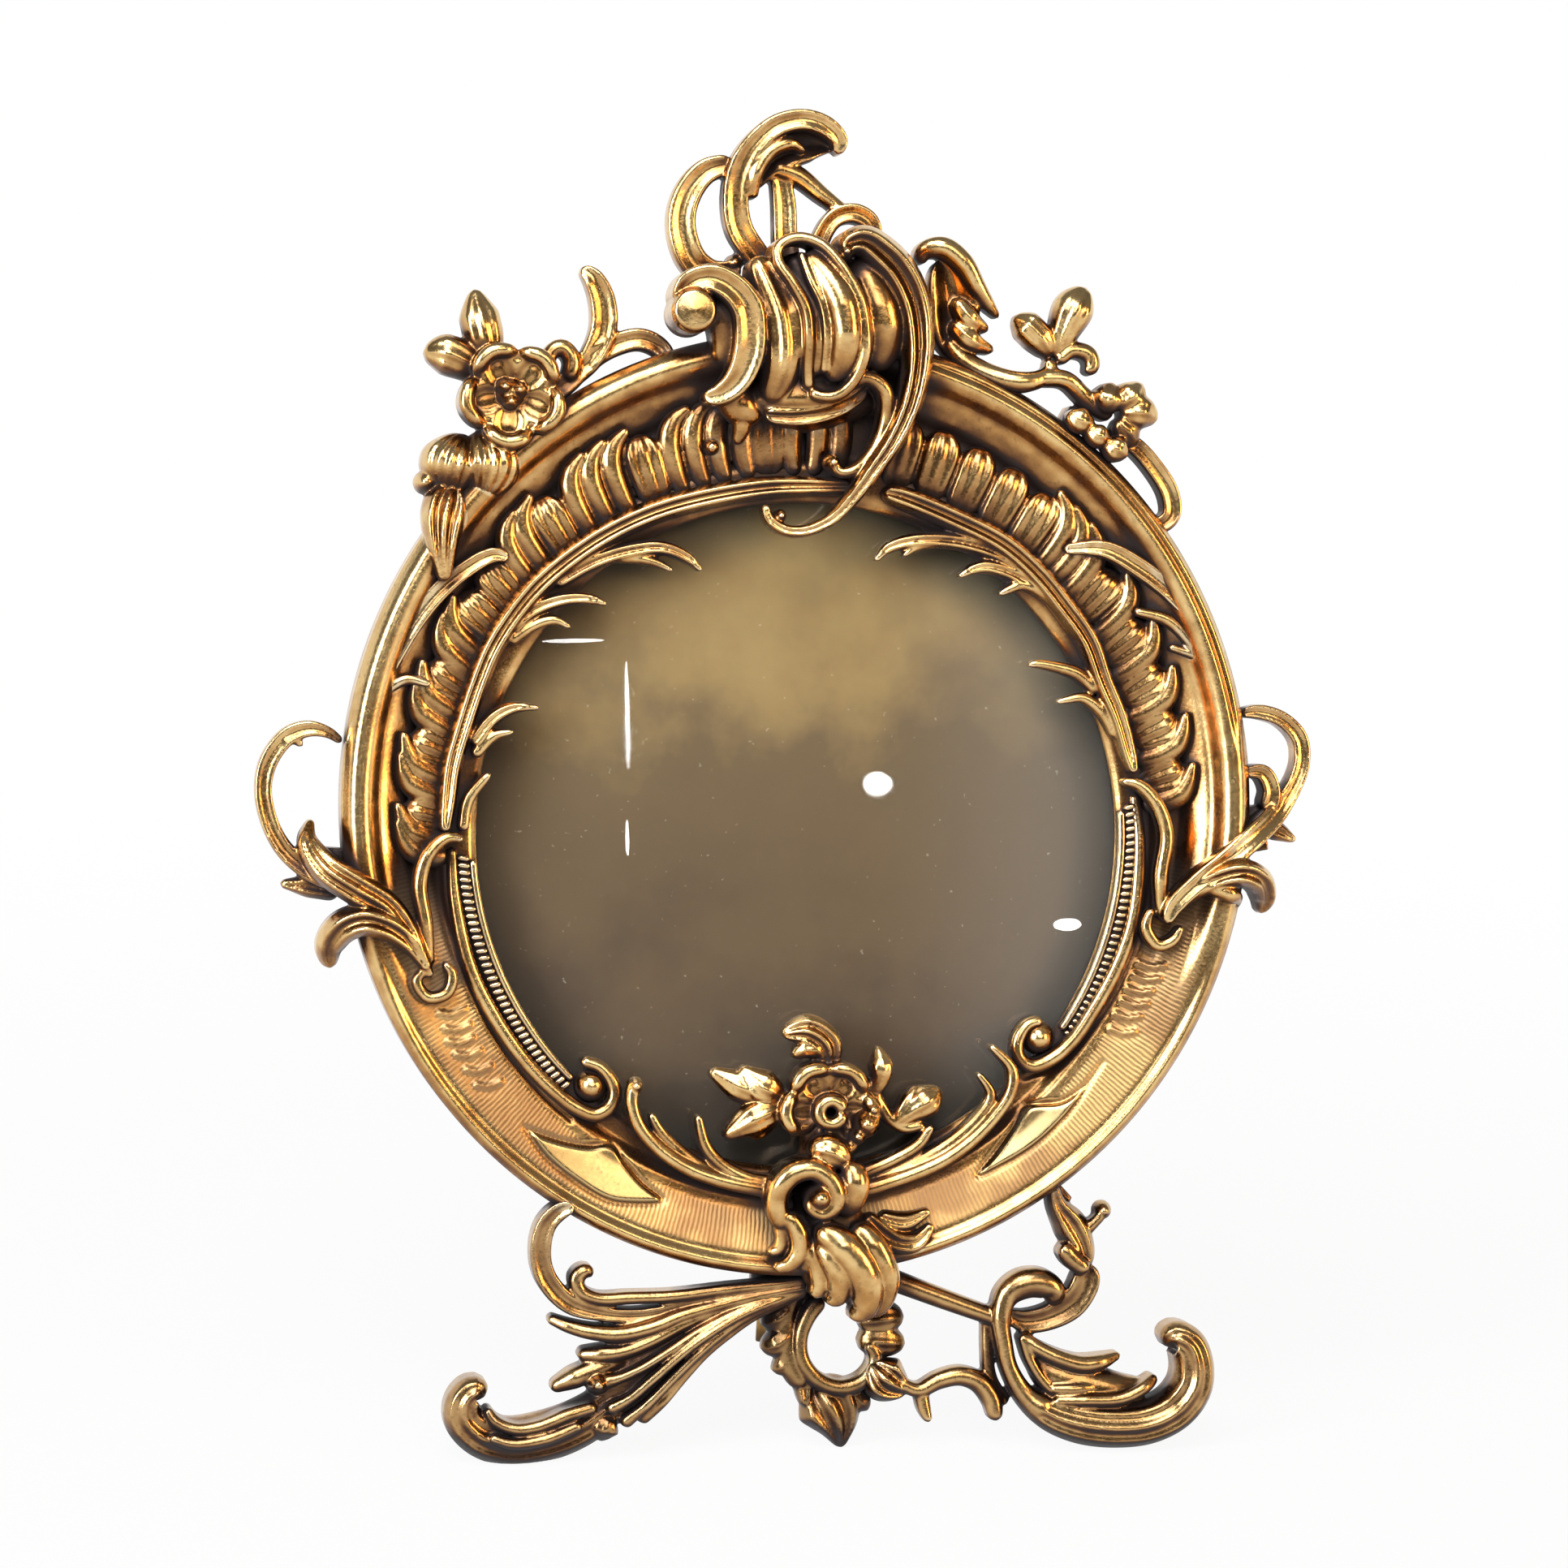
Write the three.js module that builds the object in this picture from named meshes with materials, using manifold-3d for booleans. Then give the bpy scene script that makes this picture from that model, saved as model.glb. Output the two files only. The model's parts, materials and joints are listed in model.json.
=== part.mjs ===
// Rococo brass table photo frame.
// An oval hollow-backed ring holds glass, a card and a board under a turn-buttoned back plate.
// Cast ornaments are screwed to the ring, two scrolled feet and a hinged strut stand it on a table.
import * as THREE from 'three';
import { mergeVertices } from 'three/addons/utils/BufferGeometryUtils.js';
import Module from 'manifold-3d';

const wasm = await Module();
wasm.setup();

// Driving sizes in millimetres. The frame is drawn flat: x to the right, y up, z towards the viewer,
// with the ring's centre at the origin and the ring's back at z = 0. It is then leant back.
const LEAN_DEGREES = 11;
const RING_HALF_HEIGHT = 92;
const RING_HALF_WIDTH = 89.4;
const BAND_TOP = 33;
const BAND_BOTTOM = 21;
const BAND_SIDE = 26.2;
const RIM_DEPTH = 15;
const COVE_DEPTH = 8.5;
const STEM_DEPTH = 13;
const STEM_INSET = 5.5;
const STEM_SHOULDER = 2.5;
const STEM_FALL = 2;
const LIP_THICKNESS = 2;
const COVE_RISE = 1.5;
const RIM_WIDTH = 8;
const RIM_CREST_INSET = 3.5;
const RIM_ROLL = 4;
const MOULD_DRAFT = 0.5;
const CASTING_WALL = 3;
const REBATE_WIDTH = 5;
const REBATE_DEPTH = 6;
const FLANGE_WIDTH = 12.5;
const CLEARANCE = 0.3;
const OVERCUT = 1;

const GLASS_THICKNESS = 2;
const CARD_THICKNESS = 0.5;
const BOARD_THICKNESS = 2;
const PLATE_THICKNESS = 1;
const PLATE_LAP = 1.2;
const REBATE_SLACK = 0.4;

const TANG_THICKNESS = 2;
const TANG_WIDTH = 9;
const TANG_REACH = 11;
const LUG_LENGTH = 4.5;
const LUG_TOP = 7;
const FINIAL_LUG = { lug: 13, top: 6 };
const PENDANT_LUG = { lug: 9, top: 2.4 };
const SCREW_FROM_RIM = 7;
const SCREW_RADIUS = 1.3;
const SCREW_HEAD_RADIUS = 2.6;
const SCREW_HEAD_HEIGHT = 1.4;
const BOSS_RADIUS = 3.4;
const BOSS_HEIGHT = 7;
const CREST_SCREW_FROM_RIM = 14;
const CREST_SCREW_TIP = 16;
const CLASP_SCREW_TIP = 15;

const BUTTON_FROM_SIGHT = 9;
const BUTTON_THICKNESS = 1.3;
const BUTTON_RADIUS = 2.4;
const BUTTON_LENGTH = 8;
const BUTTON_SCREW_DEPTH = 4;
const BUTTON_DEGREES = [35, 145, 215, 325];

const HINGE_HEIGHT = 25;
const HINGE_STAND_OFF = 4.7;
const PIN_RADIUS = 1.2;
const PIN_END = 1;
const BARREL_RADIUS = 2.8;
const BARREL_LENGTH = 6;
const STRUT_BARREL_LENGTH = 13.4;
const LEAF_WIDTH = 30;
const LEAF_HEIGHT = 20;
const LEAF_THICKNESS = 1;
const RIVET_RADIUS = 1.2;
const RIVET_HEAD_RADIUS = 2.3;
const RIVET_HEAD_HEIGHT = 1;
const RIVET_INSET = 6;
const STRUT_THICKNESS = 2;
const STRUT_WIDTH = 7.5;
const STRUT_OFFSET = 4.6;
const STRUT_TAPER = 0.45;
const SOLE_ALLOWANCE = 2;

const FOOT_DROP = 36;
const SOLE_DEPTH = 8;
const ANCHOR_LIFT = 1;

const RING_SEGMENTS = 48;
const ROUND_SEGMENTS = 8;
const STRUT_SEGMENTS = 8;
const STRAP_STEP = 9;
const SLIM_STRAP = 3.6;

// Worked-out sizes
const LEAN = THREE.MathUtils.degToRad(LEAN_DEGREES);
const STRUT_OPENING = 2 * LEAN;
const SIGHT_HALF_HEIGHT = RING_HALF_HEIGHT - (BAND_TOP + BAND_BOTTOM) / 2;
const SIGHT_HALF_WIDTH = RING_HALF_WIDTH - BAND_SIDE;
const SIGHT_DROP = (BAND_TOP - BAND_BOTTOM) / 2;
const PLATE_BACK = -CLEARANCE - PLATE_THICKNESS;
const HINGE_DEPTH = PLATE_BACK - HINGE_STAND_OFF;
const FLOOR_RISE = (RING_HALF_HEIGHT + FOOT_DROP) * Math.cos(LEAN) - SOLE_DEPTH * Math.sin(LEAN);

// Ornaments are drawn on a grid of squares that stretches with the ring. The feet stretch with the drop
// to the table, and the side scrolls with the band that they lap.
const GRID_SEGMENTS_ACROSS = 89.4;
const GRID_SEGMENTS_UP = 92;
const GRID_SEGMENTS_DEEP = 15;
const GRID_SEGMENTS_BAND = 26.2;
const GRID_SEGMENTS_DROP = 36;
const RING_GRID = new THREE.Vector3(
  RING_HALF_WIDTH / GRID_SEGMENTS_ACROSS,
  RING_HALF_HEIGHT / GRID_SEGMENTS_UP,
  RIM_DEPTH / GRID_SEGMENTS_DEEP,
);
const FOOT_GRID = RING_GRID.clone().setY(FOOT_DROP / GRID_SEGMENTS_DROP);
const SIDE_GRID = RING_GRID.clone().setX(BAND_SIDE / GRID_SEGMENTS_BAND);

const BRASS = { color: 0xb8863b, roughness: 0.34, metalness: 1 };
const DARK_BRASS = { color: 0x8a6430, roughness: 0.45, metalness: 1 };
const SHEET_BRASS = { color: 0xa9843f, roughness: 0.4, metalness: 1 };
const STEEL = { color: 0x8d8a82, roughness: 0.4, metalness: 1 };
const GLASS = { color: 0xcfd6d2, roughness: 0.05, metalness: 0 };
const CARD = { color: 0x75633f, roughness: 0.9, metalness: 0 };
const BOARD = { color: 0x6b5236, roughness: 0.9, metalness: 0 };

const frame = new THREE.Group();
const radians = THREE.MathUtils.degToRad;

// Solids from closed geometry, with shared corners merged and faces pointing out
function solidOf(geometry) {
  const bare = geometry.index ? geometry.toNonIndexed() : geometry.clone();
  bare.deleteAttribute('normal');
  bare.deleteAttribute('uv');
  const merged = mergeVertices(bare, 1e-4);
  const corners = merged.attributes.position;
  const triangles = [];
  let volume = 0;
  const [a, b, c] = [new THREE.Vector3(), new THREE.Vector3(), new THREE.Vector3()];
  for (let i = 0; i < merged.index.count; i += 3) {
    const face = [0, 1, 2].map((k) => merged.index.getX(i + k));
    if (new Set(face).size < 3) continue;
    [a, b, c].forEach((corner, k) => corner.fromBufferAttribute(corners, face[k]));
    volume += a.dot(b.cross(c));
    triangles.push(face);
  }
  const outward = volume > 0 ? triangles : triangles.map(([p, q, r]) => [p, r, q]);
  return new wasm.Manifold(new wasm.Mesh({
    numProp: 3,
    vertProperties: Float32Array.from(corners.array),
    triVerts: Uint32Array.from(outward.flat()),
  }));
}

const join = (first, ...rest) => rest.reduce((whole, solid) => whole.add(solid), first);
const cut = (solid, ...tools) => tools.reduce((left, tool) => left.subtract(tool), solid);

function addPart(name, solid, finish) {
  const { vertProperties, triVerts } = solid.getMesh();
  const geometry = new THREE.BufferGeometry();
  geometry.setAttribute('position', new THREE.BufferAttribute(Float32Array.from(vertProperties), 3));
  geometry.setIndex(Array.from(triVerts));
  geometry.computeVertexNormals();
  const mesh = new THREE.Mesh(geometry, new THREE.MeshStandardMaterial(finish));
  mesh.name = name;
  frame.add(mesh);
}

// Places on the ring: a share of the way from sight edge to rim, plus millimetres
function rimPoint(turn, lift = 0) {
  const x = (RING_HALF_WIDTH + lift) * Math.cos(turn);
  return new THREE.Vector2(x, (RING_HALF_HEIGHT + lift) * Math.sin(turn));
}

function sightPoint(turn) {
  const x = SIGHT_HALF_WIDTH * Math.cos(turn);
  return new THREE.Vector2(x, SIGHT_HALF_HEIGHT * Math.sin(turn) - SIGHT_DROP);
}

function bandPoint(turn, share, offset) {
  const inner = sightPoint(turn);
  const outward = rimPoint(turn).sub(inner);
  const band = outward.length();
  return inner.addScaledVector(outward.normalize(), share * band + offset);
}

// A skin of quads over rows of points, closed round each row, and along the rows or with end caps
function loft(rows, ringShaped) {
  const count = rows[0].length;
  const faces = [];
  const last = ringShaped ? rows.length : rows.length - 1;
  for (let row = 0; row < last; row += 1) {
    const here = row * count;
    const next = ((row + 1) % rows.length) * count;
    for (let i = 0; i < count; i += 1) {
      const j = (i + 1) % count;
      faces.push(here + i, here + j, next + j, here + i, next + j, next + i);
    }
  }
  if (!ringShaped) {
    const end = (rows.length - 1) * count;
    for (let i = 1; i < count - 1; i += 1) {
      faces.push(0, i + 1, i, end, end + i, end + i + 1);
    }
  }
  const geometry = new THREE.BufferGeometry();
  geometry.setAttribute('position', new THREE.Float32BufferAttribute(rows.flat(2), 3));
  geometry.setIndex(faces);
  return solidOf(geometry);
}

function ringLoft(profile) {
  const rows = [];
  for (let step = 0; step < RING_SEGMENTS; step += 1) {
    const turn = (2 * Math.PI * step) / RING_SEGMENTS;
    rows.push(profile.map(([share, offset, depth]) => {
      const point = bandPoint(turn, share, offset);
      return [point.x, point.y, depth];
    }));
  }
  return loft(rows, true);
}

function plate(outline, back, thickness) {
  const shape = new THREE.Shape(outline);
  const geometry = new THREE.ExtrudeGeometry(shape, { depth: thickness, bevelEnabled: false });
  return solidOf(geometry.translate(0, 0, back));
}

function bandOutline(offset) {
  const outline = [];
  for (let step = 0; step < RING_SEGMENTS; step += 1) {
    outline.push(bandPoint((2 * Math.PI * step) / RING_SEGMENTS, 0, offset));
  }
  return outline;
}

// A turned solid on an axis along z, from [radius, depth] pairs
function turned(centre, profile) {
  const points = profile.map(([radius, depth]) => new THREE.Vector2(radius, depth));
  const geometry = new THREE.LatheGeometry(points, ROUND_SEGMENTS).rotateX(Math.PI / 2);
  return solidOf(geometry.translate(centre.x, centre.y, 0));
}

function rod(centre, radius, back, front) {
  return turned(centre, [[0, back], [radius, back], [radius, front], [0, front]]);
}

// A domed boss, from shares of its radius and rise
const DOME_PROFILE = [[0, 0], [1, 0], [1, 0.45], [0.7, 0.85], [0, 1]];

function dome({ place, grid }, { centre, radius, back, rise }, grow = 0) {
  const base = back * grid.z - grow;
  const wide = radius * grid.x + grow;
  const high = rise * grid.z + 2 * grow;
  return turned(
    new THREE.Vector2(place.x + centre[0] * grid.x, place.y + centre[1] * grid.y),
    DOME_PROFILE.map(([out, up]) => [out * wide, base + up * high]),
  );
}

// Cast straps: flat-backed ribbons with a rounded front that follow a curve drawn in the frame's plane.
// A width, back or rise is one value, or a list spread evenly over the points of the path.
const STRAP_SECTION = [[-1, 0], [-0.75, 0.75], [0, 1], [0.75, 0.75], [1, 0]];
const SLIM_SECTION = [[-1, 0], [-0.6, 1], [0.6, 1], [1, 0]];
const INNER_BEND_LIMIT = 0.85;

function along(values, share) {
  const list = [values].flat();
  const at = share * (list.length - 1);
  const low = Math.floor(at);
  const high = Math.min(low + 1, list.length - 1);
  return THREE.MathUtils.lerp(list[low], list[high], at - low);
}

function strapStations(points) {
  const spans = points.length - 1;
  const stations = [0];
  for (let span = 0; span < spans; span += 1) {
    const steps = Math.max(1, Math.round(points[span].distanceTo(points[span + 1]) / STRAP_STEP));
    for (let step = 1; step <= steps; step += 1) stations.push((span + step / steps) / spans);
  }
  return stations;
}

function strap({ place, grid }, { path, width, back, rise }, grow = 0) {
  const points = path.map(([x, y]) => new THREE.Vector3(place.x + x * grid.x, place.y + y * grid.y, 0));
  const curve = new THREE.CatmullRomCurve3(points, false, 'centripetal');
  const stations = strapStations(points);
  const widest = Math.max(...[width].flat());
  const section = widest < SLIM_STRAP ? SLIM_SECTION : STRAP_SECTION;
  const rows = stations.map((share, i) => {
    const point = curve.getPoint(share);
    const heading = curve.getTangent(share);
    const before = stations[Math.max(0, i - 1)];
    const after = stations[Math.min(stations.length - 1, i + 1)];
    const start = curve.getTangent(before);
    const end = curve.getTangent(after);
    const bend = Math.atan2(start.x * end.y - start.y * end.x, start.dot(end));
    const arc = curve.getPoint(before).distanceTo(curve.getPoint(after));
    const half = along(width, share) * grid.x / 2 + grow;
    const inner = Math.min(half, INNER_BEND_LIMIT * arc / Math.max(Math.abs(bend), 1e-6));
    const base = along(back, share) * grid.z - grow;
    const high = along(rise, share) * grid.z + 2 * grow;
    return section.map(([across, up]) => {
      const reach = across * (across * bend < 0 ? inner : half);
      return [point.x + heading.y * reach, point.y - heading.x * reach, base + up * high];
    });
  });
  return loft(rows, false);
}

function cluster(seat, straps, domes, grow = 0) {
  const solids = straps.map((piece) => strap(seat, piece, grow));
  return join(...solids, ...domes.map((piece) => dome(seat, piece, grow)));
}

// A flower of leaf-shaped petals round a boss
function flower(centre, radius, back, rise, petals, firstDegrees) {
  const straps = [];
  for (let i = 0; i < petals; i += 1) {
    const turn = radians(firstDegrees + (360 * i) / petals);
    const reach = (share) => [
      centre[0] + share * radius * Math.cos(turn),
      centre[1] + share * radius * Math.sin(turn),
    ];
    straps.push({
      path: [reach(0.1), reach(0.6), reach(1)],
      width: [0.5 * radius, 1.1 * radius, 0.6 * radius],
      back,
      rise: [rise, 0.8 * rise, 0.7 * rise],
    });
  }
  return { straps, domes: [{ centre, radius: 0.42 * radius, back, rise: 1.3 * rise }] };
}

// The ring casting: a lip over the glass, a stem ridge, a cove and a rolled rim, hollow behind
const FRONT_PROFILE = [
  [0, 0, REBATE_DEPTH + LIP_THICKNESS],
  [0, STEM_INSET, STEM_DEPTH],
  [0, STEM_INSET + STEM_SHOULDER, STEM_DEPTH - STEM_FALL],
  [0.5, 0, COVE_DEPTH],
  [1, -RIM_WIDTH, COVE_DEPTH + COVE_RISE],
  [1, -RIM_CREST_INSET, RIM_DEPTH],
  [1, 0, RIM_DEPTH - RIM_ROLL],
];
const BACK_PROFILE = [
  [1, 0, 0],
  [1, -CASTING_WALL, 0],
  [1, -CASTING_WALL - MOULD_DRAFT, COVE_DEPTH],
  [0.5, CASTING_WALL, COVE_DEPTH - CASTING_WALL],
  [0, FLANGE_WIDTH + MOULD_DRAFT, COVE_DEPTH - CASTING_WALL - MOULD_DRAFT],
  [0, FLANGE_WIDTH, 0],
  [0, REBATE_WIDTH, 0],
  [0, REBATE_WIDTH, REBATE_DEPTH],
  [0, 0, REBATE_DEPTH],
];

// Relief cast with the ring: leaf tips that spring from the stem ridge over the glass, and two volutes
const LEAF_TIP = { width: [2.4, 3, 2.6, 1], back: 8, rise: 4 };
const LEAF_TIPS = [
  { degrees: 135, path: [[-5, 1], [4.7, 7], [11.7, 9.5], [17.7, 10], [22.7, 8], [25.2, 5.5]] },
  { degrees: 147, path: [[-5, 2.6], [1, 8.6], [7, 10.6], [12, 10.6], [15, 9.6]] },
  { degrees: 147, path: [[-5, 0.6], [1, 5.6], [5, 6.6], [8, 5.1]] },
  { degrees: 167, path: [[-3.4, 1.4], [1.6, 8.4], [5.6, 10.4], [10.1, 10.6]] },
  { degrees: 167, path: [[-3.4, -0.6], [1.6, 4.9], [5.6, 5.9]] },
  { degrees: 180, path: [[-3.4, 0], [-1.3, 7], [2.2, 12]] },
  { degrees: 48, path: [[4.7, 2.7], [-4.3, 7.2], [-12.3, 9.2], [-20.3, 9.2], [-25.3, 7.7], [-27.8, 5.2]] },
  { degrees: 48, path: [[6.7, -2.3], [-0.3, 2.7], [-5.3, 4.2], [-11.3, 2.2]] },
  { degrees: 48, path: [[11.7, -6.3], [5.7, -0.8], [1.7, 0.7], [-3.3, -1.3]] },
  { degrees: 28, path: [[4.2, -4.5], [-0.8, 1], [-5.8, 2.5], [-10.8, 2.5]] },
  { degrees: 28, path: [[8.2, -13.5], [4.2, -6.5], [0.2, -3.7], [-5.3, -4.5]] },
];
const VOLUTE = { centre: [0, 0], radius: 5, back: 7, rise: 7.5 };
const VOLUTE_DEGREES = [229, 321];

function ringRelief(grow = 0) {
  const seat = (degrees) => ({ place: sightPoint(radians(degrees)), grid: RING_GRID });
  const volutes = VOLUTE_DEGREES.map((degrees) => dome(seat(degrees), VOLUTE, grow));
  const tips = LEAF_TIPS.map(({ degrees, path }) => strap(seat(degrees), { ...LEAF_TIP, path }, grow));
  return join(...volutes, ...tips);
}

// The space that the finished ring takes up, with clearance, for fitting ornaments over and round it
function ringSpace() {
  const skin = FRONT_PROFILE.map(([share, offset, depth]) => [share, offset, depth + CLEARANCE]);
  const rimEdge = skin.pop();
  const closed = [
    ...skin,
    [1, CLEARANCE, rimEdge[2]],
    [1, CLEARANCE, -CLEARANCE],
    [0, -CLEARANCE, -CLEARANCE],
    [0, -CLEARANCE, skin[0][2]],
  ];
  return join(ringLoft(closed), ringRelief(CLEARANCE));
}

const RING_SPACE = ringSpace();

// Fastenings behind the ring
const screwHoles = [];
const bosses = [];

function bossPoint(degrees, fromRim) {
  return bandPoint(radians(degrees), 1, -fromRim);
}

function screwSolid(centre, headBack, tip) {
  const neck = headBack + SCREW_HEAD_HEIGHT;
  return turned(centre, [
    [0, headBack],
    [0.6 * SCREW_HEAD_RADIUS, headBack],
    [SCREW_HEAD_RADIUS, headBack + 0.5 * SCREW_HEAD_HEIGHT],
    [SCREW_HEAD_RADIUS, neck],
    [SCREW_RADIUS, neck],
    [SCREW_RADIUS, tip],
    [0, tip],
  ]);
}

// A flat tang that laps the back of the ring, with an upright lug outside the rim that carries an ornament
function tang(degrees, screwName, { lug = LUG_LENGTH, top = LUG_TOP } = {}) {
  const turn = radians(degrees);
  const outward = rimPoint(turn).sub(sightPoint(turn)).normalize();
  const side = new THREE.Vector2(-outward.y, outward.x);
  const corner = (out, across) => (
    rimPoint(turn).addScaledVector(outward, out).addScaledVector(side, across * TANG_WIDTH / 2));
  const block = (from, to) => [corner(from, -1), corner(to, -1), corner(to, 1), corner(from, 1)];
  const back = -CLEARANCE - TANG_THICKNESS;
  const flat = plate(block(-TANG_REACH, lug), back, TANG_THICKNESS);
  const upright = plate(block(CLEARANCE, lug), back, top - back);
  const centre = bossPoint(degrees, SCREW_FROM_RIM);
  const tip = BOSS_HEIGHT - CASTING_WALL;
  bosses.push(rod(centre, BOSS_RADIUS, 0, BOSS_HEIGHT));
  screwHoles.push(rod(centre, SCREW_RADIUS + CLEARANCE, -OVERCUT, tip + CLEARANCE));
  addPart(screwName, screwSolid(centre, back - CLEARANCE - SCREW_HEAD_HEIGHT, tip), STEEL);
  return cut(join(flat, upright), rod(centre, SCREW_RADIUS + CLEARANCE, back - OVERCUT, CLEARANCE / 2));
}

// A screw from behind, through the ring and into the back of an ornament that lies over the ring's front
function frontFixing(degrees, fromRim, screwName, tip) {
  const centre = bossPoint(degrees, fromRim);
  bosses.push(rod(centre, BOSS_RADIUS, 0, BOSS_HEIGHT));
  const hole = rod(centre, SCREW_RADIUS + CLEARANCE, -OVERCUT, tip + CLEARANCE);
  screwHoles.push(hole);
  addPart(screwName, screwSolid(centre, -CLEARANCE - SCREW_HEAD_HEIGHT, tip), STEEL);
  return hole;
}

// Ornaments. Straps are drawn from an anchor just outside the rim, x right and y up.
const CREST = {
  degrees: 90,
  straps: [
    { path: [[-4, 13], [-3, 4], [-1, -6], [3, -19]], width: [18, 33, 33, 18], back: 9.5,
      rise: [6, 10, 11, 7] },
    { path: [[-25, 3], [-20, 6.5], [-14, 4.5], [-11.5, -1], [-11.5, -8], [-13.5, -13.5], [-18.5, -16]],
      width: [3.5, 4.5, 4.5, 4, 3], back: 10, rise: 14 },
    { path: [[-3, 12.5], [0, 8], [3, 0], [5.5, -8], [4.5, -14]], width: [7, 10, 10, 9, 6], back: 12,
      rise: 15 },
    { path: [[7, 11], [11, 14], [16, 11.5], [20, 4], [21, -6], [19, -19], [14.5, -28], [7, -36], [0, -39.5],
      [-5, -39], [-7.5, -35.5]],
      width: [4, 5, 5.5, 5.5, 5, 4, 3.2, 2.6, 2.4, 2.4, 2], back: [10, 10, 11, 12, 12.5],
      rise: [14, 13, 11, 8, 6] },
    { path: [[9, -13], [14, -12], [16.5, -17], [15.5, -24.5], [11.5, -29], [6.5, -28.5]],
      width: [2.5, 2.6, 2.6, 2.2, 2], back: 10, rise: 8 },
  ],
  domes: [{ centre: [-22.5, -0.5], radius: 5, back: 9.5, rise: 13 }],
};

const FINIAL = {
  degrees: 90,
  straps: [
    { path: [[-12.5, 12.5], [-16, 10.5], [-20.5, 13], [-22.8, 20], [-21.5, 26], [-18, 30.5], [-12.5, 32]],
      width: [4, 4.5, 4.5, 4], back: 2.5, rise: 5.5 },
    { path: [[-3.5, 12], [-8, 15.5], [-11.8, 21], [-11.6, 27], [-8.5, 32.6], [-3, 36], [3, 37.4],
      [7.5, 37]],
      width: [4.5, 4, 4, 5, 9, 11, 8, 2], back: 2.5, rise: [5, 5, 6, 7, 8, 8, 6] },
    { path: [[-1.5, 10], [-2.5, 18], [-2.8, 24], [-3.5, 32]], width: [5, 4.2, 4, 4], back: 2, rise: 5.5 },
    { path: [[-4, 31], [0, 30], [5, 26], [9.5, 22.5]], width: [3, 3, 2.6, 2.6], back: 2.5, rise: 4.5 },
    { path: [[3, 11], [5, 19.5], [8, 22.6], [11.5, 23], [14.3, 21], [14.8, 18.5], [12.8, 17]],
      width: [4, 3, 3, 3, 2.6], back: 2.5, rise: 5.5 },
  ],
  domes: [],
};

const ROSE = flower([-3, 4], 8.6, 8, 10, 5, 20);
const SPRAY_LEFT = {
  degrees: 127,
  straps: [
    ...ROSE.straps,
    { path: [[-4, 10], [-6, 17], [-9, 25.5]], width: [4, 7.5, 1.2], back: 6, rise: 5 },
    { path: [[-7, 9], [-12, 11], [-18, 11.5]], width: [4, 5.5, 1.2], back: 6, rise: 5 },
    { path: [[-5, -3], [-10, -9], [-15.5, -15], [-18.5, -23], [-20.5, -31]], width: [8, 15, 9, 6, 2],
      back: [6, 6, 6, 8, 9], rise: [11, 13, 12, 11, 9] },
    { path: [[3, 4], [10, 8], [17, 14], [22, 15.5], [27, 14.3], [30, 11]], width: [4, 3.6, 3, 3, 2.6],
      back: [6, 5, 4, 4, 5], rise: 5 },
    { path: [[10, 8.5], [14.5, 14], [16, 20], [15, 25.5], [11.5, 30]], width: [3, 4, 4.4, 4, 1.6],
      back: 4, rise: 5.5 },
    { path: [[9, 8], [9, 13.5], [5.8, 13.2], [5.4, 10.6]], width: [3, 3, 2.8, 2], back: 5, rise: 5 },
  ],
  domes: ROSE.domes,
};

const BELL_FLOWER = flower([13, 0], 6.2, 5, 6, 4, 30);
const SPRAY_RIGHT = {
  degrees: 55,
  straps: [
    { path: [[-29, 28.5], [-25, 30.5], [-21.5, 25], [-18, 19], [-13.5, 13.5], [-9, 8.5]],
      width: [2, 5, 8, 8, 6, 4], back: 4, rise: [6, 7, 6, 6, 5, 5] },
    { path: [[-27, 20], [-24.5, 15], [-19, 10], [-12, 7.8], [-5, 7], [0, 7]], width: [3, 3.5, 3.5, 4, 4, 4],
      back: [4, 4, 5, 7, 6, 5], rise: 6 },
    { path: [[-3, 8], [-5, 14], [-9, 18.5]], width: [3.5, 6.5, 1.6], back: 5, rise: 5.5 },
    { path: [[-1, 8], [2, 17], [5, 25.3]], width: [4, 6.5, 1.6], back: 4.5, rise: 6 },
    { path: [[-1, 7], [3, 3], [8, 0], [13, 0]], width: [4, 4.5, 4, 4], back: 4.5, rise: 6 },
    { path: [[5, 3], [6, 8], [3, 11.5]], width: [3, 3, 2.6], back: 4.5, rise: 5.5 },
    { path: [[1, 3], [5, -2.5], [9, -7]], width: [5, 6, 4], back: 7, rise: 8 },
    { path: [[11, -3], [16, -5.5], [20.3, -10], [22.6, -15], [21.5, -20], [16.5, -20]],
      width: [4, 3.6, 3.6, 3.8, 3.8, 3], back: 4, rise: 5.5 },
    ...BELL_FLOWER.straps,
  ],
  domes: BELL_FLOWER.domes,
};

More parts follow.
